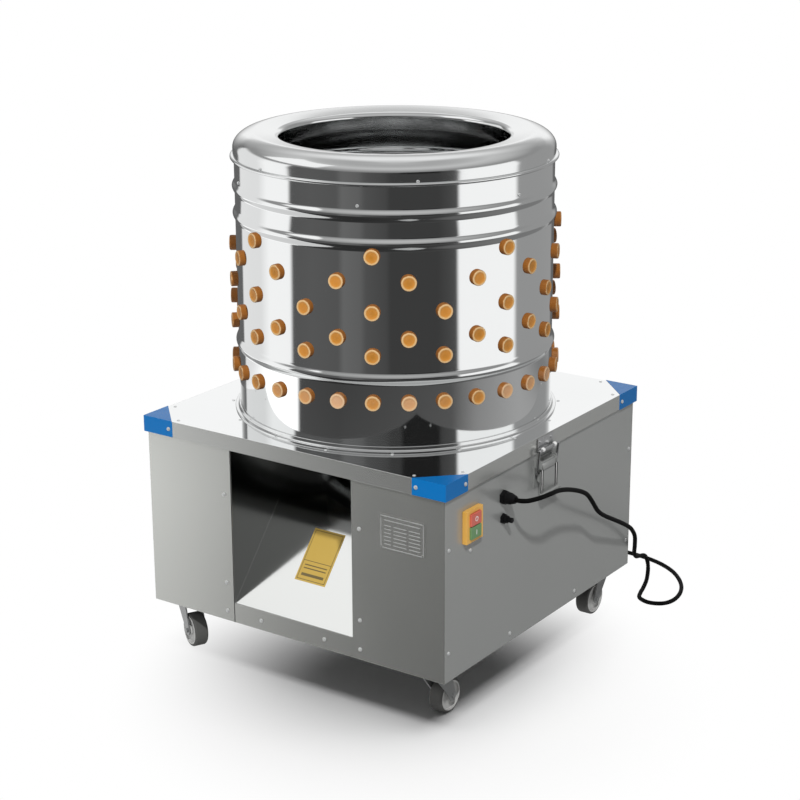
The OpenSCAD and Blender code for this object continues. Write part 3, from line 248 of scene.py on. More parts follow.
def moulded(name, tint, rough, pale, texture, depth, coat=0.0, shine=0.5):
    """Plastic, rubber or paint: a tint that varies, an uneven gloss and a fine skin texture."""
    finish = Finish(name)
    skin = finish.noise(texture)
    clouds = finish.noise(24.0)
    light = [c + (1 - c) * pale for c in tint]
    dark = [c * (1 - pale) for c in tint]
    finish.set(base_color=finish.blend(clouds * 0.7 + skin * 0.3, dark, light))
    finish.set(roughness=rough + (skin - 0.5) * 0.18, coat_weight=coat, specular_ior_level=shine)
    finish.bump(skin * depth + clouds * depth * 0.4, 0.4)
    return finish.material


BLUE_ENAMEL = moulded("blue_enamel", (0.0, 0.14, 0.42), 0.22, 0.004, 60, 0.01, shine=0.22)
BLACK_RUBBER = moulded("black_rubber", (0.003, 0.003, 0.003), 0.55, 0.001, 420, 0.1, shine=0.08)
BLACK_PLASTIC = moulded("black_plastic", (0.004, 0.004, 0.0045), 0.4, 0.003, 320, 0.08, shine=0.15)
# Near black for the feather pan and the latch's edge strips: painted shade, where the inside of the base and
# the lever's edges fall dark
SHADE_BLACK = moulded("pan_painted_shade", (0.004, 0.004, 0.004), 0.6, 0.001, 120, 0.1, shine=0.05)
YELLOW_PLASTIC = moulded("yellow_plastic", (0.80, 0.42, 0.05), 0.34, 0.08, 260, 0.06, coat=0.2)
RED_PLASTIC = moulded("red_plastic", (0.60, 0.085, 0.045), 0.34, 0.1, 260, 0.06, coat=0.2)
GREEN_PLASTIC = moulded("green_plastic", (0.09, 0.24, 0.07), 0.34, 0.1, 260, 0.06, coat=0.2)
MARK_WHITE = moulded("mark_white", (0.8, 0.8, 0.78), 0.5, 0.05, 300, 0.04)
WHEEL_GREY = moulded("wheel_grey", (0.42, 0.42, 0.41), 0.45, 0.1, 120, 0.2)
TREAD_GREY = moulded("tread_grey", (0.065, 0.065, 0.062), 0.6, 0.03, 160, 0.3, shine=0.2)
LABEL_YELLOW = moulded("label_yellow", (0.50, 0.335, 0.065), 0.45, 0.03, 90, 0.02)
LABEL_LINE = moulded("label_line", (0.12, 0.085, 0.02), 0.45, 0.05, 90, 0.02)

# Colours by nearness to the middle of a head's face: brown sides painted as shade, a pale ring painted as a
# highlight on the raised rim, then the orange of the dish
FACE_RINGS_AND_PAINTED_LIGHT = (
    (0.0, (0.26, 0.092, 0.014)), (0.035, (0.40, 0.18, 0.05)), (0.075, (0.64, 0.45, 0.24)),
    (0.22, (0.60, 0.38, 0.16)), (0.33, (0.52, 0.21, 0.026)), (1.0, (0.50, 0.19, 0.016)),
)
# A darker tan painted into the middle of the dish as shade
DISH_SHADE_TAN = (0.34, 0.135, 0.003)
PALE_TAN = (0.62, 0.43, 0.30)
LOW_ROW = (0.56, 0.54)
# Tan rubber: a pale ring on the head's raised rim, painted as a highlight; a darker core, painted as
# shade in the dish; brown sides, painted as shade; a paler low row
finish = Finish("finger_rubber")
core = finish.attribute("core")
tone = finish.attribute("tone")
skin = finish.noise(520)
patches = finish.noise(170, detail=4.0)
face = finish.ramp(core + (patches - 0.5) * core ** 0.2 * 0.3, FACE_RINGS_AND_PAINTED_LIGHT)
dish_shaded = finish.blend(core * (1 - tone) ** 1.5, face, DISH_SHADE_TAN)
height = finish.node("ShaderNodeSeparateXYZ", inputs={0: finish.place()}, out="Z")
low_row = finish.node("ShaderNodeMapRange", inputs={0: height, 1: LOW_ROW[0], 2: LOW_ROW[1]})
pale = finish.blend(patches ** 2.0 * 0.2 + tone ** 2.0 * low_row * 0.8, dish_shaded, PALE_TAN)
finish.set(base_color=finish.blend(core ** 0.1, face, pale), roughness=0.55 + (skin - 0.5) * 0.3)
finish.bump(skin * 0.25 + patches * 0.2)
FINGER_RUBBER = finish.material
print("paint, plastic and rubber finishes made")

# %% [markdown]
# ## Making pieces
# Three helpers make most pieces, from lengths in millimetres. `lathe` spins a profile, as the drum and
# rim are spun from sheet. `block` is a box with rounded edges. `dress` takes a solid of the frame,
# merges its loose triangles, rounds its sharp edges so that they catch light, and lets the result
# stand for the solid.

# %% Piece helpers
SMOOTH_ANGLE = math.radians(32)
FLAT_ANGLE = math.radians(0.3)
MERGE_WITHIN = 1e-6
SLIVER = 1e-7
bodies = frame["record"]["behaviour"]["bodies"]
body_of = {node: body for body, members in bodies.items() for node in members}


def belong(piece, node):
    """The piece rides with a solid."""
    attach(piece, body_of[node])


def stand_for(piece, *replaced):
    """The piece rides with, and stands for, the given solids."""
    belong(piece, replaced[0])
    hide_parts(*replaced)


def add_mesh(name, mesh, finish):
    """An object at the origin for a finished mesh."""
    mesh.materials.clear()
    mesh.materials.append(finish)
    mesh.polygons.foreach_set("use_smooth", [True] * len(mesh.polygons))
    mesh.set_sharp_from_angle(angle=SMOOTH_ANGLE)
    made = bpy.data.objects.new(name, mesh)
    scene.collection.objects.link(made)
    return made


def from_bmesh(name, shape, finish):
    mesh = bpy.data.meshes.new(name)
    shape.to_mesh(mesh)
    shape.free()
    return add_mesh(name, mesh, finish)


def grid_faces(rows, wide, closed_rows=False, closed_across=False):
    """The quads of a grid of points that are listed row by row."""
    faces = []
    for j in range(rows if closed_rows else rows - 1):
        here, there = j * wide, (j + 1) % rows * wide
        for i in range(wide if closed_across else wide - 1):
            k = (i + 1) % wide
            faces.append((here + i, here + k, there + k, there + i))
    return faces


def lathe_mesh(name, profile, segments):
    """A closed outline of (radius, height), spun round the Z axis."""
    vertices = []
    for step in range(segments):
        angle = math.tau * step / segments
        for radius, height in profile:
            vertices.append((radius * math.cos(angle) * MM, radius * math.sin(angle) * MM, height * MM))
    mesh = bpy.data.meshes.new(name)
    mesh.from_pydata(vertices, [], grid_faces(segments, len(profile), True, True))
    shape = bmesh.new()
    shape.from_mesh(mesh)
    bmesh.ops.remove_doubles(shape, verts=shape.verts, dist=SLIVER)
    bmesh.ops.recalc_face_normals(shape, faces=shape.faces)
    shape.to_mesh(mesh)
    shape.free()
    return mesh


def lathe(name, profile, segments, finish):
    return add_mesh(name, lathe_mesh(name, profile, segments), finish)


def block(name, low, high, finish, round_mm, steps=1):
    """A box between two corners, with rounded edges."""
    shape = bmesh.new()
    bmesh.ops.create_cube(shape, size=1)
    low, high = Vector(low) * MM, Vector(high) * MM
    size = high - low
    middle = (low + high) / 2
    for vertex in shape.verts:
        vertex.co = Vector(c * s for c, s in zip(vertex.co, size)) + middle
    if round_mm:
        bmesh.ops.bevel(
            shape, geom=shape.edges[:], offset=round_mm * MM, segments=steps, profile=0.5, affect="EDGES",
        )
    return from_bmesh(name, shape, finish)


def dress(node, finish, round_mm, steps=2):
    """A merged copy of a solid with rounded edges, which stands for the solid."""
    mesh = nodes[node].data.copy()
    shape = bmesh.new()
    shape.from_mesh(mesh)
    bmesh.ops.remove_doubles(shape, verts=shape.verts, dist=MERGE_WITHIN)
    bmesh.ops.dissolve_degenerate(shape, edges=shape.edges, dist=SLIVER)
    bmesh.ops.dissolve_limit(shape, angle_limit=FLAT_ANGLE, verts=shape.verts, edges=shape.edges)
    shape.to_mesh(mesh)
    shape.free()
    for layer in ("sharp_face", "custom_normal"):
        if layer in mesh.attributes:
            mesh.attributes.remove(mesh.attributes[layer])
    piece = add_mesh(node + "_dressed", mesh, finish)
    if round_mm:
        edge = piece.modifiers.new("rounded edges", "BEVEL")
        edge.width = round_mm * MM
        edge.segments = steps
        edge.limit_method = "ANGLE"
        edge.angle_limit = SMOOTH_ANGLE
        level = piece.modifiers.new("flat faces", "WEIGHTED_NORMAL")
        level.keep_sharp = True
    stand_for(piece, node)
    return piece


def dress_all(finish, round_mm, *chosen):
    for node in chosen:
        dress(node, finish, round_mm)


def second_finish(piece, finish, picks):
    """Gives another finish to the faces that a test picks."""
    piece.data.materials.append(finish)
    for face in piece.data.polygons:
        face.material_index = int(picks(face))


def joined(name, pieces):
    """One object out of several."""
    with bpy.context.temp_override(active_object=pieces[0], selected_editable_objects=pieces):
        bpy.ops.object.join()
    pieces[0].name = name
    return pieces[0]


print("helpers ready")

# %% [markdown]
# ## Mains cord
# The cord leaves the gland, sags along the right side, drops behind the rear corner and lies in a
# loop on the floor. The rest is wound into a neat coil behind the base. Its line is the same list of
# points that the solid follows, made smooth, and the coil is worked out turn by turn.

# %% Cord
CORD_RADIUS = 4.0
COIL_TURNS = 2
COIL_LIFT = 0.5
COIL_RADIUS = 54.0
COIL_PITCH = 8.6
COIL_CENTRE = (125.0, 480.0)
COIL_FLOOR = 5.3
COIL_RINGS = 48
CORD_SIDES = 14
CORD_STEPS = 6
cord_route = [
    (336, -136, 357), (345, -136, 357), (359, -133.5, 359.5), (374, -121, 364), (381, -99, 366),
    (379, -73, 362.5), (376, -46, 355.5), (373, -19, 346.5), (371, 8, 336), (369, 30, 326), (366, 51, 314),
    (362, 75, 294), (357, 102, 269), (354, 123, 254), (351, 146, 241), (348, 176, 225.5), (345, 210, 208),
    (341, 241, 191.5), (336, 272, 173), (329, 301, 148), (318, 324, 119), (308, 342, 95), (301, 363, 79),
    (297, 387, 71), (296, 411, 62), (297, 422, 39), (300, 413, 15), (305, 389, 5.2), (310, 370, 4.5),
    (320, 347, 4.2), (344, 337, 4.1), (368, 347, 4.1), (378, 371, 4.1), (375, 404, 4.1), (362, 438, 4.1),
    (340, 470, 4.1), (311, 498, 4.1), (274, 519, 4.1), (232, 531, 4.1), (190, 534, 4.4), (157, 534, 5.1),
    (133, 534, 5.3),
]


def smooth_line(points, steps):
    """Points on a smooth curve through the given ones."""
    made = []
    for i in range(len(points) - 1):
        a, b = points[max(i - 1, 0)], points[i]
        c, d = points[i + 1], points[min(i + 2, len(points) - 1)]
        for s in range(steps):
            t = s / steps
            bend = (2 * a - 5 * b + 4 * c - d) * t**2 + (3 * b - a - 3 * c + d) * t**3
            made.append(0.5 * (2 * b + (c - a) * t + bend))
    return made + [points[-1]]


def coil_point(turns):
    """A point of the coil: in on the floor, up in the part turn where it reverses, and out again."""
    middle = COIL_TURNS + COIL_LIFT / 2
    radius = COIL_RADIUS - COIL_PITCH * (middle - abs(turns - middle))
    rise = min(max((turns - COIL_TURNS) / COIL_LIFT, 0), 1)
    angle = math.radians(90 + 360 * turns)
    x = COIL_CENTRE[0] + radius * math.cos(angle)
    y = COIL_CENTRE[1] + radius * math.sin(angle)
    return Vector((x, y, COIL_FLOOR + COIL_PITCH * rise * rise * (3 - 2 * rise)))


def tube_mesh(name, line, radius, sides):
    """A round tube along a line of points that never runs straight up."""
    vertices = []
    for i, point in enumerate(line):
        ahead = (line[min(i + 1, len(line) - 1)] - line[max(i - 1, 0)]).normalized()
        across = Vector((0, 0, 1)).cross(ahead).normalized()
        over = ahead.cross(across)
        for j in range(sides):
            angle = math.tau * j / sides
            vertices.append(point + radius * (math.cos(angle) * across + math.sin(angle) * over))
    faces = grid_faces(len(line), sides, closed_across=True)
    faces.append(tuple(range(sides))[::-1])
    faces.append(tuple((len(line) - 1) * sides + j for j in range(sides)))
    mesh = bpy.data.meshes.new(name)
    mesh.from_pydata(vertices, [], faces)
    return mesh


coil_steps = int(COIL_RINGS * (2 * COIL_TURNS + COIL_LIFT))
coil_line = [coil_point(i / COIL_RINGS) for i in range(coil_steps + 1)]
coil_end = coil_line[-1] + Vector((2 * CORD_RADIUS, 0, 0))
cord_line = smooth_line([Vector(p) for p in cord_route], CORD_STEPS) + coil_line + [coil_end]
cord_line = [point * MM for point in cord_line]
cord_tube = tube_mesh("cord", cord_line, CORD_RADIUS * MM, CORD_SIDES)
cord = add_mesh("mains_cord_dressed", cord_tube, BLACK_RUBBER)
stand_for(cord, "mains_cord", "cord_coil")
plug = dress("plug", BLACK_PLASTIC, 1.2, 3)
tie = dress("cord_tie", BLACK_PLASTIC, 0.3)

# %% [markdown]
# ## Drum
# The drum is one sheet rolled into a cylinder with three beads pressed into it, an angle ring round
# its foot and a rolled rim on top. A mirror shows every facet, so these are spun with many segments
# from smooth profiles.

# %% Drum shell, foot ring and rim
DRUM_R = 275.0
DRUM_T = 1.2
SNUG = 0.3
DECK_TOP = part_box("deck_plate")[1].z / MM
SHELL_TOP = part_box("drum_shell")[1].z / MM
BEADS = (124.0, 349.0, 396.0)
BEAD_OUT = 4.5
BEAD_HALF = 12.0
BEAD_STEPS = 24
DRUM_SEGMENTS = 288


def wall_side(radius):
    side = [(radius, DECK_TOP)]
    for bead in BEADS:
        for i in range(-BEAD_STEPS // 2, BEAD_STEPS // 2 + 1):
            u = 2 * i / BEAD_STEPS
            swell = BEAD_OUT * (1 + math.cos(math.pi * u)) / 2
            side.append((radius + swell, DECK_TOP + bead + BEAD_HALF * u))
    return side + [(radius, SHELL_TOP)]


shell_profile = wall_side(DRUM_R) + wall_side(DRUM_R - DRUM_T)[::-1]
shell = lathe("drum_skin", shell_profile, DRUM_SEGMENTS, DRUM_STEEL)
stand_for(shell, "drum_shell")

FOOT_IN = DRUM_R + SNUG
FOOT_W = 9.0
FOOT_T = 2.5
FOOT_H = 9.0


def corner_arc(x, z, across, up, start, stop, steps):
    """Points on part of an oval, in degrees from +X towards +Z."""
    angles = [math.radians(start + (stop - start) * i / steps) for i in range(steps + 1)]
    return [(x + across * math.cos(a), z + up * math.sin(a)) for a in angles]


foot_profile = (
    [(FOOT_IN, DECK_TOP), (FOOT_IN + FOOT_W, DECK_TOP)]
    + corner_arc(FOOT_IN + FOOT_W - 1, DECK_TOP + FOOT_T - 1, 1, 1, 0, 90, 4)
    + corner_arc(FOOT_IN + FOOT_T + 2, DECK_TOP + FOOT_T + 2, 2, 2, 270, 180, 6)
    + corner_arc(FOOT_IN + FOOT_T - 1, DECK_TOP + FOOT_H - 1, 1, 1, 0, 90, 4)
    + [(FOOT_IN, DECK_TOP + FOOT_H)]
)
foot = lathe("drum_foot", foot_profile, DRUM_SEGMENTS, RIM_STEEL)
stand_for(foot, "drum_foot_ring")

MOUTH_R = 197.0
MOUTH_LEN = 21.0
MOUTH_CURVE = 10.0
RIM_RISE = 30.0
RIM_TURN = 3.0
RIDGE_OVER = 5.0
RIDGE_R = 238.0
RIM_T = 1.5
SKIRT_H = 15.0
HEM_OUT = 5.0
HEM_HALF = 3.5
RIM_STEPS = 20
skirt_in = DRUM_R + SNUG
skirt_r = skirt_in + RIM_T
skirt_low = SHELL_TOP - SKIRT_H
rim_turn = SHELL_TOP + RIM_TURN
mouth_top = SHELL_TOP + RIM_RISE - RIDGE_OVER - MOUTH_CURVE


def rim_side(skirt, inset):
    rise = SHELL_TOP + RIM_RISE - inset - rim_turn
    curve = MOUTH_CURVE - inset
    return corner_arc(RIDGE_R, rim_turn, skirt - RIDGE_R, rise, 0, 90, RIM_STEPS) + corner_arc(
        MOUTH_R + MOUTH_CURVE, mouth_top, curve, curve, 90, 180, RIM_STEPS
    )


rim_profile = (
    corner_arc(skirt_r, skirt_low + HEM_HALF, HEM_OUT, HEM_HALF, -90, 90, RIM_STEPS)
    + rim_side(skirt_r, 0)
    + [(MOUTH_R, mouth_top - MOUTH_LEN), (MOUTH_R + RIM_T, mouth_top - MOUTH_LEN)]
    + rim_side(skirt_in, RIM_T)[::-1]
    + [(skirt_in, skirt_low)]
)
rim = lathe("rolled_rim", rim_profile, DRUM_SEGMENTS, RIM_STEEL)
stand_for(rim, "rim_cap")
print("drum spun with", DRUM_SEGMENTS, "segments")

# %% [markdown]
# ## What repeats
# Fingers, screws and rivets are each one small shape set at many places. One Geometry Nodes tree
# serves them all: it takes points that know which way they face, sets an instance of the shape on
# each, gives it a random spin and tone, and makes the result real.

# %% A tree that sets a shape on points
PLACING = bpy.data.node_groups.new("set shape on points", "GeometryNodeTree")
kinds = {"Geometry": "Geometry", "Shape": "Object", "Seed": "Int", "Finish": "Material"}
for name, kind in kinds.items():
    PLACING.interface.new_socket(name, in_out="INPUT", socket_type="NodeSocket" + kind)
PLACING.interface.new_socket("Geometry", in_out="OUTPUT", socket_type="NodeSocketGeometry")
add = Graph(PLACING).node
points, sample, seed, finish = (add("NodeGroupInput", out=name) for name in kinds)
shape = add("GeometryNodeObjectInfo", {}, {"Object": sample}, "Geometry")
aim = add("GeometryNodeInputNamedAttribute", {"data_type": "FLOAT_VECTOR"}, {"Name": "aim"}, "Attribute")
facing = add("FunctionNodeAlignRotationToVector", {"axis": "Z"}, {"Vector": aim}, "Rotation")
angle = add("FunctionNodeRandomValue", {}, {3: math.tau, "Seed": seed}, 1)
spin = add("FunctionNodeAxisAngleToRotation", {}, {"Angle": angle}, "Rotation")
both = {"Rotation": facing, "Rotate By": spin}
turned = add("FunctionNodeRotateRotation", {"rotation_space": "LOCAL"}, both, "Rotation")
placed = {"Points": points, "Instance": shape, "Rotation": turned}
made = add("GeometryNodeInstanceOnPoints", {}, placed, "Instances")
chance = add("FunctionNodeRandomValue", {}, {"Seed": seed}, 1)
stored = {"Geometry": made, "Name": "tone", "Value": chance}
kept = {"data_type": "FLOAT", "domain": "INSTANCE"}
made = add("GeometryNodeStoreNamedAttribute", kept, stored, "Geometry")
made = add("GeometryNodeRealizeInstances", {}, {"Geometry": made}, "Geometry")
made = add("GeometryNodeSetMaterial", {}, {"Geometry": made, "Material": finish}, "Geometry")
add("NodeGroupOutput", {}, {"Geometry": made})
PLACING_IDS = {
    item.name: item.identifier for item in PLACING.interface.items_tree if item.in_out == "INPUT"
}


def scatter(name, shape_mesh, places, finish, seed):
    """The shape at each (place, aim), as one plain mesh. Places are in millimetres."""
    points = bpy.data.meshes.new(name + " points")
    points.from_pydata([Vector(place) * MM for place, aim in places], [], [])
    aims = points.attributes.new("aim", "FLOAT_VECTOR", "POINT")
    aims.data.foreach_set("vector", [c for place, aim in places for c in aim])
    host = bpy.data.objects.new(name + " host", points)
    sample = bpy.data.objects.new(name + " shape", shape_mesh)
    scene.collection.objects.link(host)
    scene.collection.objects.link(sample)
    setter = host.modifiers.new("set shape", "NODES")
    setter.node_group = PLACING
    for key, value in (("Shape", sample), ("Seed", seed), ("Finish", finish)):
        setter[PLACING_IDS[key]] = value
    bpy.context.view_layer.update()
    graph = bpy.context.evaluated_depsgraph_get()
    mesh = bpy.data.meshes.new_from_object(host.evaluated_get(graph))
    bpy.data.objects.remove(host)
    bpy.data.objects.remove(sample)
    mesh.name = name
    made = add_mesh(name, mesh, finish)
    print(name, len(places), "pieces,", len(mesh.polygons), "faces")
    return made


# %% [markdown]
# ## Rubber fingers
# A finger is pushed through its hole from outside: a round head stays out, and a ribbed body reaches
# into the drum. The head's face has a raised rim round a shallow dish. How far a point lies towards
# the middle of that face is stored on the mesh, so that the rubber's colour can follow it: the rim
# is painted pale as a highlight, the dish darker as shade, and the sides brown as shade.

# %% Finger shape
HEAD_R = 13.25
HEAD_H = 12.5
NECK_R = 9.5
COLLAR_R = 12.0
COLLAR_H = 4.4
FINGER_LEN = 90.0
ROOT_R = 10.0
TIP_R = 7.0
RIBS = 6
RIB_DEPTH = 1.3
TIP_LEN = 8.0
FINGER_SIDES = 20
# The face from its middle outwards: radius, and height over the outermost point
HEAD_FACE = (
    (0.0, 1.1), (6.2, 1.0), (8.6, 0.8), (9.8, 0.1), (11.5, 0.0), (12.5, 0.3), (13.0, 1.0), (HEAD_R, 2.0),
)
FACE_DEPTH = 2.5


def finger_profile(grip):
    """The finger's outline along +Z, from the middle of its head's face to its tip."""
    start = grip + COLLAR_H
    pitch = (FINGER_LEN - COLLAR_H - TIP_LEN) / RIBS
    taper = (ROOT_R - TIP_R) / RIBS
    outline = [(radius, up - HEAD_H) for radius, up in HEAD_FACE]
    outline += [(HEAD_R, -1.0), (HEAD_R - 0.8, -0.1), (NECK_R, 0.0), (NECK_R, grip)]
    outline += [(COLLAR_R, grip), (COLLAR_R, start - 1), (COLLAR_R - 1, start)]
    for i in range(RIBS):
        radius = ROOT_R - taper * i
        groove = radius - RIB_DEPTH
        base = start + pitch * i
        outline += [(groove, base), (groove, base + 0.45 * pitch)]
        outline += [(radius, base + 0.6 * pitch), (radius, base + 0.92 * pitch)]
    tip = start + pitch * RIBS
    end_r = TIP_R - RIB_DEPTH
    outline += [(end_r, tip), (end_r, tip + TIP_LEN - 3), (end_r - 1, tip + TIP_LEN - 1)]
    return outline + [(end_r - 3, tip + TIP_LEN), (0.0, tip + TIP_LEN)]


def finger_mesh(grip):
    mesh = lathe_mesh("finger", finger_profile(grip), FINGER_SIDES)
    core = mesh.attributes.new("core", "FLOAT", "POINT")
    for vertex, value in zip(mesh.vertices, core.data):
        on_face = vertex.co.z < (FACE_DEPTH - HEAD_H) * MM
        value.value = 1 - math.hypot(vertex.co.x, vertex.co.y) / (HEAD_R * MM) if on_face else 0.0
    return mesh


# %% Finger places
LEFT, RIGHT, FRONT, BACK, UP = (-1, 0, 0), (1, 0, 0), (0, -1, 0), (0, 1, 0), (0, 0, 1)
COLUMNS = 30
COLUMN_TURN = -62.6
FINGER_SLACK = 0.4
PLATE_RINGS = ((72.0, 6), (140.0, 12))
PLATE_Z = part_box("turntable_plate")[0].z / MM
PLATE_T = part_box("turntable_plate")[1].z / MM - PLATE_Z


def round_drum(degrees, radius, z):
    """A place at an angle round the drum's axis, and the level way out from there."""
    out = Vector((math.cos(math.radians(degrees)), math.sin(math.radians(degrees)), 0))
    return out * radius + Vector((0, 0, z)), out


def ring_places(radius, z, count):
    """Places on a circle round the drum's axis that face up, the first half a step on."""
    return [(round_drum(360 * (i + 0.5) / count, radius, z)[0], UP) for i in range(count)]


def set_fingers(name, grip, places, seed, node):
    made = scatter(name, finger_mesh(grip), places, FINGER_RUBBER, seed)
    made.visible_glossy = False
    stand_for(made, node)


sparse = (0, 4, 8, 12, 15, 18, 22, 26)
even, odd = range(0, COLUMNS, 2), range(1, COLUMNS, 2)
finger_rows = (
    (331.0, sparse), (288.4, odd), (238.5, even), (193.9, odd), (165.0, even), (86.0, range(COLUMNS)),
)
drum_places = []
for height, row in finger_rows:
    for k in row:
        place, out = round_drum(COLUMN_TURN + 360 * k / COLUMNS, DRUM_R, DECK_TOP + height)
        drum_places.append((place, -out))
set_fingers("drum_finger_set", DRUM_T + FINGER_SLACK, drum_places, 2008, "drum_fingers")
plate_places = [place for radius, count in PLATE_RINGS for place in ring_places(radius, PLATE_Z, count)]
set_fingers("plate_finger_set", PLATE_T, plate_places, 5, "plate_fingers")

# %% [markdown]
# ## Screws and rivets
# Every head is spun once, with its socket or crown, and set at its places by the same tree. Most
# places repeat the rules of the solids that they stand for.

# %% Fastener shapes
BASE_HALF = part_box("right_panel")[1].x / MM
DECK_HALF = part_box("deck_plate")[1].x / MM
CAP_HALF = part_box("corner_caps")[1].x / MM
FLANGE_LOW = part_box("deck_plate")[0].z / MM
PANEL_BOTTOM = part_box("front_sill")[0].z / MM
OPENING_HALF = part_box("front_sill")[1].x / MM
# Outlines from the middle outwards, in shares of a head's radius and height
SOCKET_HEAD = (
    (0.0, 0.35), (0.36, 0.35), (0.40, 0.97), (0.52, 1.0), (0.78, 0.86), (0.95, 0.5), (1.0, 0.18), (1.0, 0.0),
    (0.0, 0.0),
)
RIVET_CROWN = ((0.0, 1.0), (0.5, 0.94), (0.85, 0.62), (1.0, 0.0), (0.0, 0.0))


def fastener(name, outline, radius, height, segments):
    return lathe_mesh(name, [(radius * across, height * up) for across, up in outline], segments)


SCREW = fastener("screw", SOCKET_HEAD, 3.6, 2.0, 20)
SMALL_SCREW = fastener("small screw", SOCKET_HEAD, 2.9, 2.0, 18)
RIVET = fastener("rivet", RIVET_CROWN, 3.0, 1.2, 18)
print("heads spun")

# %% Fastener places
# Places across and up: beside the outlet and in its sill, then on each of the other three sides
FRONT_SCREWS = [(OPENING_HALF + 16, z) for z in (104, 157, 320)] + [(68, PANEL_BOTTOM + 18)]
LOW_SCREW = PANEL_BOTTOM + 16
SIDE_SCREWS = (
    (-299.5, 136), (-299.5, 316), (299.5, 136), (299.5, 316), (-110, LOW_SCREW), (110, LOW_SCREW),
)
SWITCH_SCREW = (-236.0, 296)
panel_places = []
for side in (-1, 1):
    panel_places += [((side * x, -BASE_HALF, z), FRONT) for x, z in FRONT_SCREWS]
for across, z in SIDE_SCREWS:
    panel_places.append(((BASE_HALF, across, z), RIGHT))
    panel_places.append(((-BASE_HALF, -across, z), LEFT))
    panel_places.append(((-across, BASE_HALF, z), BACK))
panel_places.append(((BASE_HALF, *SWITCH_SCREW), RIGHT))
panel_screws = scatter("panel_screw_set", SCREW, panel_places, SCREW_STEEL, seed=7)
stand_for(panel_screws, "panel_screws")

CAP_LEG = 65.0
CAP_SCREW_IN = 8
CAP_SCREW_UP = 14
DECK_RIVET_IN = 12
DECK_RIVET_PAST = 4
cap_end = CAP_HALF - CAP_LEG
deck_screw_places, rivet_places = [], []
for quarter in range(4):
    spin = Matrix.Rotation(quarter * math.pi / 2, 3, "Z")
    for side in (-1, 1):
        cap_place = Vector((CAP_HALF, side * (cap_end + CAP_SCREW_IN), FLANGE_LOW + CAP_SCREW_UP))
        rivet_place = Vector((DECK_HALF - DECK_RIVET_IN, side * (cap_end - DECK_RIVET_PAST), DECK_TOP))
        deck_screw_places.append((spin @ cap_place, spin @ Vector(RIGHT)))
        rivet_places.append((spin @ rivet_place, UP))
FOOT_RIVETS = 16
FOOT_RIVET_R = 289.0
foot_places = ring_places(FOOT_RIVET_R, DECK_TOP, FOOT_RIVETS)
# Degrees from a finger column, radius and height of the screws through the rim's skirt and the shell
RIM_SCREWS = 6
SKIRT_SCREW = (15.2, skirt_r, skirt_low + 8.5)
SHELL_SCREW = (-5, DRUM_R, DECK_TOP + 411.5)
rim_places = []
for i in range(RIM_SCREWS):
    for offset, radius, z in (SKIRT_SCREW, SHELL_SCREW):
        rim_places.append(round_drum(COLUMN_TURN + offset + 360 * i / RIM_SCREWS, radius, z))
deck_fasteners = joined("deck_fastener_set", [
    scatter("cap_screws", SCREW, deck_screw_places, SCREW_STEEL, seed=11),
    scatter("cap_rivets", RIVET, rivet_places, SCREW_STEEL, seed=12),
    scatter("foot_rivets", RIVET, foot_places, SCREW_STEEL, seed=13),
    scatter("rim_screws", SMALL_SCREW, rim_places, SCREW_STEEL, seed=14),
])
stand_for(deck_fasteners, "deck_screws")

# %% [markdown]
# ## Deck, caps and panels
# These are bent sheets. Their solids have the right size and holes, so each is dressed: merged,
# given a small radius where the sheet is folded, and finished.

# %% Deck and base sheets
SEAM_W = 1.3
SEAM_OUT = 0.25
SEAM_IN = 0.2
SEAM_UP = 4
deck = dress("deck_plate", DECK_STEEL, 0.7, 3)
second_finish(deck, FLANGE_STEEL, lambda face: face.normal.z <= 0.5)
caps = dress("corner_caps", BLUE_ENAMEL, 0.45, 3)
caps.visible_glossy = False
dress_all(PANEL_STEEL, 0.5, "front_left_panel", "front_right_panel", "front_sill")
# Left and right panels take the darker steel that is painted shade
dress_all(SHADED_SIDE_STEEL, 0.5, "right_panel", "left_panel")
dress_all(PANEL_STEEL, 0.3, "rear_panel")
chute = dress("feather_chute", CHUTE_STEEL, 0.3)
# Faces that look sideways take the dark copy: painted shade on the chute's walls
second_finish(chute, SHADED_WALL_STEEL, lambda face: abs(face.normal.x) > 0.9)
# The feather pan is painted near black as shade
dress_all(SHADE_BLACK, 0.3, "feather_pan")
# A thin black strip stands at the seam beside the left front panel: painted shade in the gap
seam_low = (-OPENING_HALF - SEAM_W, -BASE_HALF - SEAM_OUT, PANEL_BOTTOM)
seam_high = (-OPENING_HALF, -BASE_HALF + SEAM_IN, FLANGE_LOW + SEAM_UP)
belong(block("front_panel_seam", seam_low, seam_high, BLACK_PLASTIC, 0.1), "front_left_panel")
dress_all(DECK_STEEL, 0.4, "turntable_plate")
dress_all(ZINC_STEEL, 0.5, "bottom_frame", "corner_posts", "top_frame", "drive_frame", "motor_plate")
print("sheets dressed")

# %% Drive
dress_all(CAST_METAL, 0.8, "spindle_housing", "motor_body")
dress_all(CAST_METAL, 0.5, "driven_pulley", "drive_pulley")
dress_all(FITTING_STEEL, 0.5, "main_shaft", "motor_shaft", "spindle_bearings", "turntable_hub")
dress_all(BLACK_RUBBER, 0.4, "drive_belt", "feather_sweeps")
dress_all(BLACK_PLASTIC, 0.4, "motor_fan_cover")
print("drive dressed")

# %% [markdown]
# ## Fittings
# The switch, gland, latch, hinges and data plate are small but they are what a hand goes to.

# %% Fittings
dress("switch_housing", YELLOW_PLASTIC, 1.0, 3)
dress("stop_button", RED_PLASTIC, 1.0, 3)
dress("start_button", GREEN_PLASTIC, 1.0, 3)
dress_all(BLACK_PLASTIC, 0.5, "cable_gland", "overload_breaker", "reset_button")
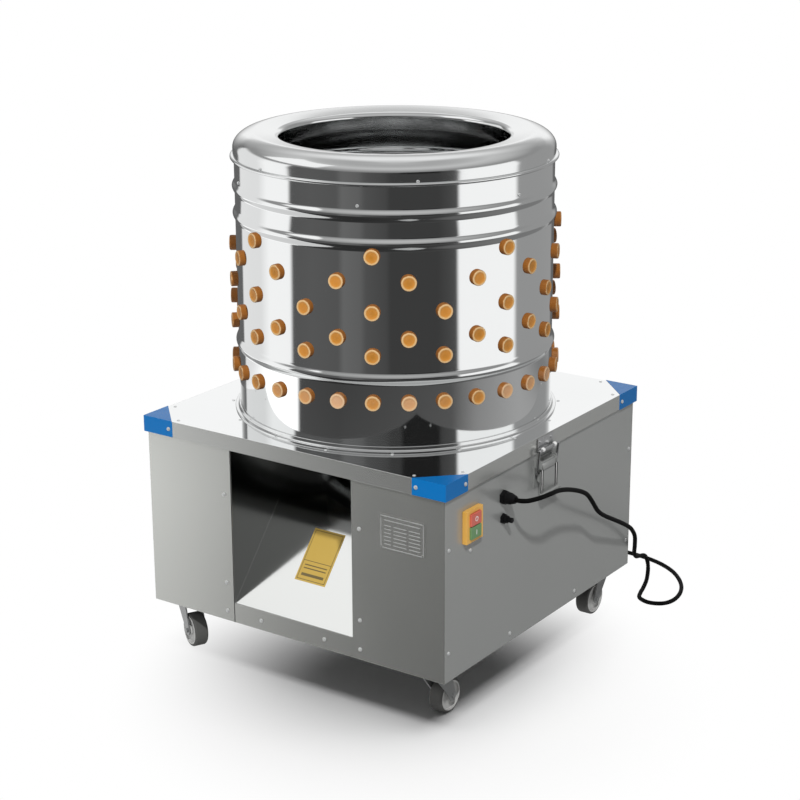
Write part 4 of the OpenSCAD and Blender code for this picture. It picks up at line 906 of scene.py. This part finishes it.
# The latch's base and lever take the side panels' darker steel, painted shade
dress_all(SHADED_SIDE_STEEL, 0.25, "latch_base", "latch_lever")
dress_all(FITTING_STEEL, 0.25, "latch_keeper")
dress_all(FITTING_STEEL, 0, "latch_bail")
dress_all(FITTING_STEEL, 0.4, "hinge_base_leaves", "hinge_deck_leaves")
print("fittings dressed")

# %% [markdown]
# The latch's lever has a short cover over its pivot and, along each edge, a bead painted pale as a
# highlight between two black strips painted as shade. Two collars painted pale as highlights sit on
# the bail's top bar.

# %% Latch details
COVER_HALF = 24.5
COVER_UP = 2.0
COVER_DOWN = 12.0
STRIP_DROP = 9.0
STRIP_DEPTH = 1.0
# A pale bead painted as a highlight, and raised black strips painted as shade on either side of it
# Name, distance from the lever's middle, half the width, rise and finish
STRIPS = (
    ("lever_bead", 23.6, 0.9, 0.5, LATCH_PAINTED_HIGHLIGHT),
    ("lever_groove", 21.0, 1.7, 0.25, SHADE_BLACK),
    ("lever_groove", 26.2, 1.7, 0.25, SHADE_BLACK),
)
COLLAR_AT = 19.0
KNOB_R = 4.0
BAIL_WIRE_R = 2.2
LEVER_T = 1.5
LEVER_CURL = 5.0
PIVOT_DROP = 5.5
lever_low, lever_high = (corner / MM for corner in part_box("latch_lever"))
bail_low, bail_high = (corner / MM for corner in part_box("latch_bail"))
lever_mid = (lever_low.y + lever_high.y) / 2
lever_face = lever_high.x - 2 * LEVER_CURL + LEVER_T
pivot_high = lever_high.z - PIVOT_DROP


def on_lever(name, across, half, heights, depth, rise, finish):
    """A flat strip on the lever's face, so far from the lever's middle."""
    low = (lever_face - depth, lever_mid + across - half, heights[0])
    high = (lever_face + rise, lever_mid + across + half, heights[1])
    return block(name, low, high, finish, 0.2, 2)


cover_z = (pivot_high - COVER_DOWN, pivot_high + COVER_UP)
strip_z = (lever_low.z + LEVER_CURL, pivot_high - STRIP_DROP)
# The cover takes the side panels' darker steel, painted shade
lever_parts = [on_lever("lever_cover", 0, COVER_HALF, cover_z, LEVER_T, 0, SHADED_SIDE_STEEL)]
for side in (-1, 1):
    for name, at, half, rise, finish in STRIPS:
        lever_parts.append(on_lever(name, side * at, half, strip_z, STRIP_DEPTH, rise, finish))
belong(joined("latch_lever_trim", lever_parts), "latch_lever")
bar_mid = Vector((bail_high.x - BAIL_WIRE_R, (bail_low.y + bail_high.y) / 2, bail_high.z - BAIL_WIRE_R))
knob = lathe_mesh("knob", corner_arc(0, 0, KNOB_R, KNOB_R, -90, 90, 10), 20)
knob_places = [(bar_mid + Vector((0, side * COLLAR_AT, 0)), UP) for side in (-1, 1)]
# The collars are painted pale as highlights
belong(scatter("latch_bail_collars", knob, knob_places, LATCH_PAINTED_HIGHLIGHT, seed=15), "latch_bail")

# %% [markdown]
# A data plate is etched: its frame and the rules of its table stand a hair above the sheet. This one
# stays blank. The two switch buttons carry the usual ring and bar for off and on.

# %% Data plate and switch marks
PLATE_RIVET_H = 1.0
RULE_W = 0.9
RULE_OUT = 0.3
RULE_IN = 0.1
PLATE_EDGE = 3.0
TABLE_ROWS = 6
TABLE_FROM = 0.12
TABLE_STEP = 0.115
TABLE_CELLS = ((0.08, 0.24), (0.30, 0.60), (0.66, 0.92))
TITLE_AT = 0.86
dress_all(PANEL_STEEL, 0.25, "data_plate")
plate_low, plate_high = (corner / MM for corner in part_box("data_plate"))
plate_face = plate_low.y + PLATE_RIVET_H


def rule(x0, z0, x1, z1):
    """A raised line on the data plate."""
    low, high = (x0, plate_face - RULE_OUT, z0), (x1, plate_face + RULE_IN, z1)
    return block("plate_rule", low, high, SCREW_STEEL, 0.1)


left, right = plate_low.x + PLATE_EDGE, plate_high.x - PLATE_EDGE
low, high = plate_low.z + PLATE_EDGE, plate_high.z - PLATE_EDGE
across, tall = right - left, high - low
rules = [rule(left, z - RULE_W, right, z) for z in (high, low + RULE_W)]
rules += [rule(x, low, x + RULE_W, high) for x in (left, right - RULE_W)]
cells = [(TABLE_FROM + TABLE_STEP * row, *cell) for row in range(TABLE_ROWS) for cell in TABLE_CELLS]
cells.append((TITLE_AT, TABLE_CELLS[0][0], TABLE_CELLS[-1][1]))
for up, begin, end in cells:
    z = low + tall * up
    rules.append(rule(left + across * begin, z, left + across * end, z + RULE_W))
belong(joined("data_plate_rules", rules), "data_plate")

MARK_R = 4.2
MARK_W = 1.3
MARK_OUT = 0.25
MARK_IN = 0.1


def button_face(node):
    """The middle of a button's outer face."""
    corner_low, corner_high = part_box(node)
    middle = (corner_low + corner_high) / 2
    return Vector((corner_high.x, middle.y, middle.z)) / MM


ring = [(MARK_R - MARK_W, -MARK_IN), (MARK_R, -MARK_IN), (MARK_R, MARK_OUT), (MARK_R - MARK_W, MARK_OUT)]
off_mark = lathe("off_mark", ring, 32, MARK_WHITE)
off_at = Matrix.Translation(button_face("stop_button") * MM)
off_mark.data.transform(off_at @ Matrix.Rotation(math.pi / 2, 4, "Y"))
belong(off_mark, "stop_button")
on_at = button_face("start_button")
on_low = on_at - Vector((MARK_IN, MARK_W / 2, MARK_R))
on_high = on_at + Vector((MARK_OUT, MARK_W / 2, MARK_R))
belong(block("on_mark", on_low, on_high, MARK_WHITE, 0.1), "start_button")
print("plate and marks made")

# %% [markdown]
# ## Casters
# A caster's wheel is a grey moulding with a darker tread. Its hub, web and rim are one turned
# profile, so the wheel is spun, and its faces take the tread's finish by their radius.

# %% Casters
WHEEL_R = 30.5
WHEEL_HALF = 13.0
AXLE_HOLE = 4.3
HUB_R = 9.0
RIM_IN = 23.5
TREAD_FROM = 26.4
SHOULDER = 4.0
WHEEL_SEGMENTS = 48
WHEEL_TURNS = {"front_left": -27, "front_right": 90, "rear_left": -60, "rear_right": -90}
wheel_side = [(radius, WHEEL_HALF - drop) for radius, drop in (
    (AXLE_HOLE, 0), (HUB_R - 0.7, 0), (HUB_R, 0.7), (HUB_R, 3.4), (HUB_R + 0.8, 4), (RIM_IN - 1, 4),
    (RIM_IN, 3.2), (RIM_IN, 0.6), (RIM_IN + 0.6, 0), (TREAD_FROM - 0.6, 0), (TREAD_FROM, 0.6),
    (TREAD_FROM, 1.1),
)]
wheel_side += corner_arc(WHEEL_R - SHOULDER, WHEEL_HALF - SHOULDER - 0.4, SHOULDER, SHOULDER, 84, 0, 8)
wheel_outline = wheel_side + [(radius, -z) for radius, z in wheel_side[::-1]]
dress_all(ZINC_STEEL, 0.5, "caster_plates")
for corner, degrees in WHEEL_TURNS.items():
    dress(corner + "_fork", ZINC_STEEL, 0.8, 3)
    wheel = lathe(corner + "_wheel_turned", wheel_outline, WHEEL_SEGMENTS, WHEEL_GREY)
    second_finish(wheel, TREAD_GREY, lambda face: math.hypot(*face.center.xy) > TREAD_FROM * MM)
    low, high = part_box(corner + "_wheel")
    turn = Matrix.Rotation(math.radians(degrees), 4, "Z") @ Matrix.Rotation(math.pi / 2, 4, "X")
    wheel.data.transform(Matrix.Translation((low + high) / 2) @ turn)
    stand_for(wheel, corner + "_wheel")
print("casters made")

# %% [markdown]
# ## Label
# A plain yellow sticker lies on the chute's plate. It has a thin dark frame, an empty field and blank
# bands, and nothing is written on it.

# %% Label
CHUTE_SLOPE = math.radians(50)
SILL_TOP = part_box("front_sill")[1].z / MM
CHUTE_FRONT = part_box("feather_chute")[0].y / MM
LABEL_X = 3.0
LABEL_HALF = 32.5
LABEL_LOW = 69.0
LABEL_HIGH = 166.0
LABEL_Z = (0.02, 0.25)
PRINT_Z = (0.2, 0.33)
FRAME_IN = 3.0
FRAME_W = 1.1
FIELD_UP = 37.0
BAND_IN = 9.0
BANDS = ((29, 31), (23, 25), (10, 15))


def on_chute(name, x0, y0, x1, y1, heights, finish, round_mm):
    """A flat box drawn on the floor at the origin, then turned up the chute's slope."""
    made = block(name, (x0, y0, heights[0]), (x1, y1, heights[1]), finish, round_mm)
    foot = Matrix.Translation(Vector((LABEL_X, CHUTE_FRONT, SILL_TOP)) * MM)
    made.data.transform(foot @ Matrix.Rotation(CHUTE_SLOPE, 4, "X"))
    return made


sticker = (-LABEL_HALF, LABEL_LOW, LABEL_HALF, LABEL_HIGH)
belong(on_chute("chute_label", *sticker, LABEL_Z, LABEL_YELLOW, 0.08), "feather_chute")
edge, low, high = LABEL_HALF - FRAME_IN, LABEL_LOW + FRAME_IN, LABEL_HIGH - FRAME_IN
band = LABEL_HALF - BAND_IN
line_boxes = [(-edge, y, edge, y + FRAME_W) for y in (low, high - FRAME_W, LABEL_LOW + FIELD_UP)]
line_boxes += [(x, low, x + FRAME_W, high) for x in (-edge, edge - FRAME_W)]
line_boxes += [(-band, LABEL_LOW + y0, band, LABEL_LOW + y1) for y0, y1 in BANDS]
label_lines = [on_chute("label_line", *line, PRINT_Z, LABEL_LINE, 0) for line in line_boxes]
belong(joined("chute_label_frame", label_lines), "feather_chute")
print("label laid")

# %% [markdown]
# ## Studio
# A mirror shows what stands round it, so the drum needs more than lamps. Photographers set tall
# white boxes beside a machine and black boards beside the camera, and the drum draws them as upright
# bands. Here one dome carries them all: each of its points knows how bright it is, and only
# reflections see it.

# %% Studio dome
DOME_R = 6.0
DOME_MIDDLE = Vector((0, 0, 0.66))
# Levels round the studio at the machine's height, by degrees from the camera to the image's right
AROUND = (
    (-180, 0.13), (-143, 0.13), (-140, 0.85), (-110, 0.85), (-100, 1.05), (-79, 1.05), (-76, 0.10),
    (-60, 0.11), (-40, 0.10), (-36, 0.15), (-24, 0.13), (-20, 0.09), (-6, 0.07), (-3, 0.05), (30, 0.05),
    (43, 0.08), (45.5, 1.05), (92, 1.05), (96, 0.33), (150, 0.33), (156, 0.13), (180, 0.13),
)
# The same where the panels of the base look, nearer the floor
AROUND_LOW = (
    (-180, 0.3), (-150, 0.6), (-140, 1.4), (-75.3, 1.4), (-72.3, 0.07), (-40, 0.06), (40, 0.10), (60, 0.26),
    (100, 0.38), (150, 0.38), (180, 0.3),
)
# How much of a level is left at an elevation: the low one, a dark one, a white one
LOW_UP = ((-90, 1), (-20.2, 1), (-19.2, 0), (90, 0))
LOW_FALL = ((-90, 0.4), (-25.5, 0.55), (-19.5, 1.15), (90, 1.15))
DARK_UP = ((-90, 1), (19, 1), (26, 0), (90, 0))
DARK_BACK_UP = ((-90, 1), (-4, 1), (12, 0), (90, 0))
WHITE_UP = ((-90, 1), (20, 1), (25, 0), (90, 0))
WHITE_FROM = 0.6
# What takes over higher up, in front and behind
FRONT_HIGH = ((-90, 0.3), (30, 0.3), (45, 0.52), (54, 0.6), (65, 0.48), (75, 0.43), (90, 0.5))
BACK_HIGH = (
    (-90, 1.0), (17.8, 1.0), (20, 0.64), (27, 0.45), (36, 0.58), (46, 0.85), (61, 0.92), (80, 0.6),
    (90, 0.5),
)
BACK_SHARE = ((-180, 1), (-165, 1), (-141, 0), (140, 0), (160, 1), (180, 1))
# The dark floor at the foot of the right-hand box
FOOT_FROM, FOOT_TO = 44, 152
FOOT_UP = ((-90, 0.21), (-18.8, 0.21), (-17.4, 2.0), (90, 2.0))
# Boxes of one level: black beside the camera, and the white that the chute mirrors
BLACK_BOX = (6, 30, 9, 23, 0.015)
WHITE_BOX = (-116, -58, 31, 56, 1.05)


def along(stops, at):
    """The value at a place on a line through (place, value) stops."""
    for (x0, y0), (x1, y1) in zip(stops, stops[1:]):
        if at <= x1:
            return y0 + (y1 - y0) * (at - x0) / (x1 - x0)
    return stops[-1][1]


def studio_level(around, up):
    for begin, end, low, high, level in (BLACK_BOX, WHITE_BOX):
        if begin <= around <= end and low <= up <= high:
            return level
    level = along(AROUND, around)
    share = along(BACK_SHARE, around)
    if level > WHITE_FROM:
        left = along(WHITE_UP, up)
    else:
        left = along(DARK_UP, up) * (1 - share) + along(DARK_BACK_UP, up) * share
    over = along(FRONT_HIGH, up) * (1 - share) + along(BACK_HIGH, up) * share
    level = level * left + over * (1 - left)
    if FOOT_FROM < around < FOOT_TO:
        level = min(level, along(FOOT_UP, up))
    low = along(LOW_UP, up)
    return level * (1 - low) + along(AROUND_LOW, around) * along(LOW_FALL, up) * low


columns = sorted({place for place, level in AROUND + AROUND_LOW} | set(range(-180, 181, 3)))
bends = LOW_UP + DARK_UP + WHITE_UP + BACK_HIGH + FOOT_UP
rows = sorted({place for place, level in bends} | set(range(-90, 91, 2)))
toward = Vector((math.sin(azimuth), -math.cos(azimuth), 0))
vertices, levels = [], []
for up in rows:
    for around in columns:
        a, e = math.radians(around), math.radians(up)
        flat = toward * math.cos(a) + view_right * math.sin(a)
        vertices.append(DOME_MIDDLE + (flat * math.cos(e) + Vector((0, 0, math.sin(e)))) * DOME_R)
        levels.append(studio_level(around, up))
mesh = bpy.data.meshes.new("studio_dome")
mesh.from_pydata(vertices, [], grid_faces(len(rows), len(columns)))
mesh.attributes.new("level", "FLOAT", "POINT").data.foreach_set("value", levels)
glow = Finish("studio_glow")
glow.surface(glow.node("ShaderNodeEmission", inputs={"Color": glow.attribute("level")}))
glow.tree.nodes.remove(glow.shader)
dome = add_mesh("studio_dome", mesh, glow.material)
dome.visible_camera = dome.visible_diffuse = dome.visible_shadow = False
print("dome has", len(vertices), "points")

# %% [markdown]
# The floor is white card that keeps the machine's shadow. Far from the machine it fades into the
# white of the background, so that its edge never shows.

# %% Floor and world
FLOOR_R = 1.55
FLOOR_MIDDLE = (0.18, -0.203, 0)
FLOOR_FADE = (0.15, 0.54)
FLOOR_WHITE = (0.95, 0.95, 0.95, 1)
WORLD_DIFFUSE = 0.13
finish = Finish("studio_floor")
finish.set(base_color=FLOOR_WHITE, roughness=0.9, specular_ior_level=0.0)
ends = {0: finish.place(), 1: FLOOR_MIDDLE}
away = finish.node("ShaderNodeVectorMath", {"operation": "DISTANCE"}, ends, "Value")
fades = {0: away, 1: FLOOR_FADE[0], 2: FLOOR_FADE[1]}
fade = finish.node("ShaderNodeMapRange", {"interpolation_type": "SMOOTHSTEP"}, fades)
card = Wire(finish, finish.shader.outputs[0])
white = finish.node("ShaderNodeEmission")
finish.surface(finish.node("ShaderNodeMixShader", inputs={"Fac": fade, 1: card, 2: white}))
shape = bmesh.new()
bmesh.ops.create_circle(shape, cap_ends=True, radius=FLOOR_R, segments=96)
floor = from_bmesh("floor", shape, finish.material)
floor.visible_glossy = False

# White to the camera and to mirrors, and a low even light on everything else
world = bpy.data.worlds.new("white studio")
world.use_nodes = True
graph = Graph(world.node_tree)
seen = graph.node("ShaderNodeLightPath", out="Is Camera Ray")
for ray in ("Is Glossy Ray", "Is Transmission Ray"):
    pair = {0: seen, 1: graph.node("ShaderNodeLightPath", out=ray)}
    seen = graph.node("ShaderNodeMath", {"operation": "MAXIMUM"}, pair)
level = graph.node("ShaderNodeMapRange", {}, {"Value": seen, "To Min": WORLD_DIFFUSE}, "Result")
back = world.node_tree.nodes["Background"]
graph.feed(back.inputs["Color"], (1, 1, 1, 1))
graph.feed(back.inputs["Strength"], level)
scene.world = world
print("floor and world made")

# %% [markdown]
# Four soft lamps light what isn't a mirror. The one overhead lights the floor and draws the shadow
# under the base. Fills in front and behind and a small high key over the camera light the machine
# alone, and the key lets the cord throw its shadow on the panel.

# %% Lamps


def floor_link(name, state):
    """A light-linking collection that takes the floor in or leaves it out."""
    made = bpy.data.collections.new(name)
    made.objects.link(floor)
    made.collection_objects[0].light_linking.link_state = state
    return made


floor_only = floor_link("the floor", "INCLUDE")
no_floor = floor_link("all but the floor", "EXCLUDE")


def softbox(name, place, target, width, power, lights):
    lamp = bpy.data.lights.new(name, "AREA")
    lamp.size = width
    lamp.energy = power
    made = bpy.data.objects.new(name, lamp)
    made.location = place
    made.rotation_euler = (Vector(target) - Vector(place)).to_track_quat("-Z", "Y").to_euler()
    made.visible_glossy = False
    made.light_linking.receiver_collection = lights
    scene.collection.objects.link(made)


softbox("overhead softbox", (0.86, -0.05, 4.2), (0, 0, 0), 3.1, 172, floor_only)
softbox("front fill", (-0.3, -3.0, 1.9), (0, 0, 0.5), 1.6, 38, no_floor)
softbox("high key", (1.9, -2.05, 3.1), (0, 0, 0.4), 0.14, 118, no_floor)
softbox("back fill", (-0.8, 3.0, 2.2), (0, 0, 0.4), 1.6, 45, no_floor)
print("studio set")
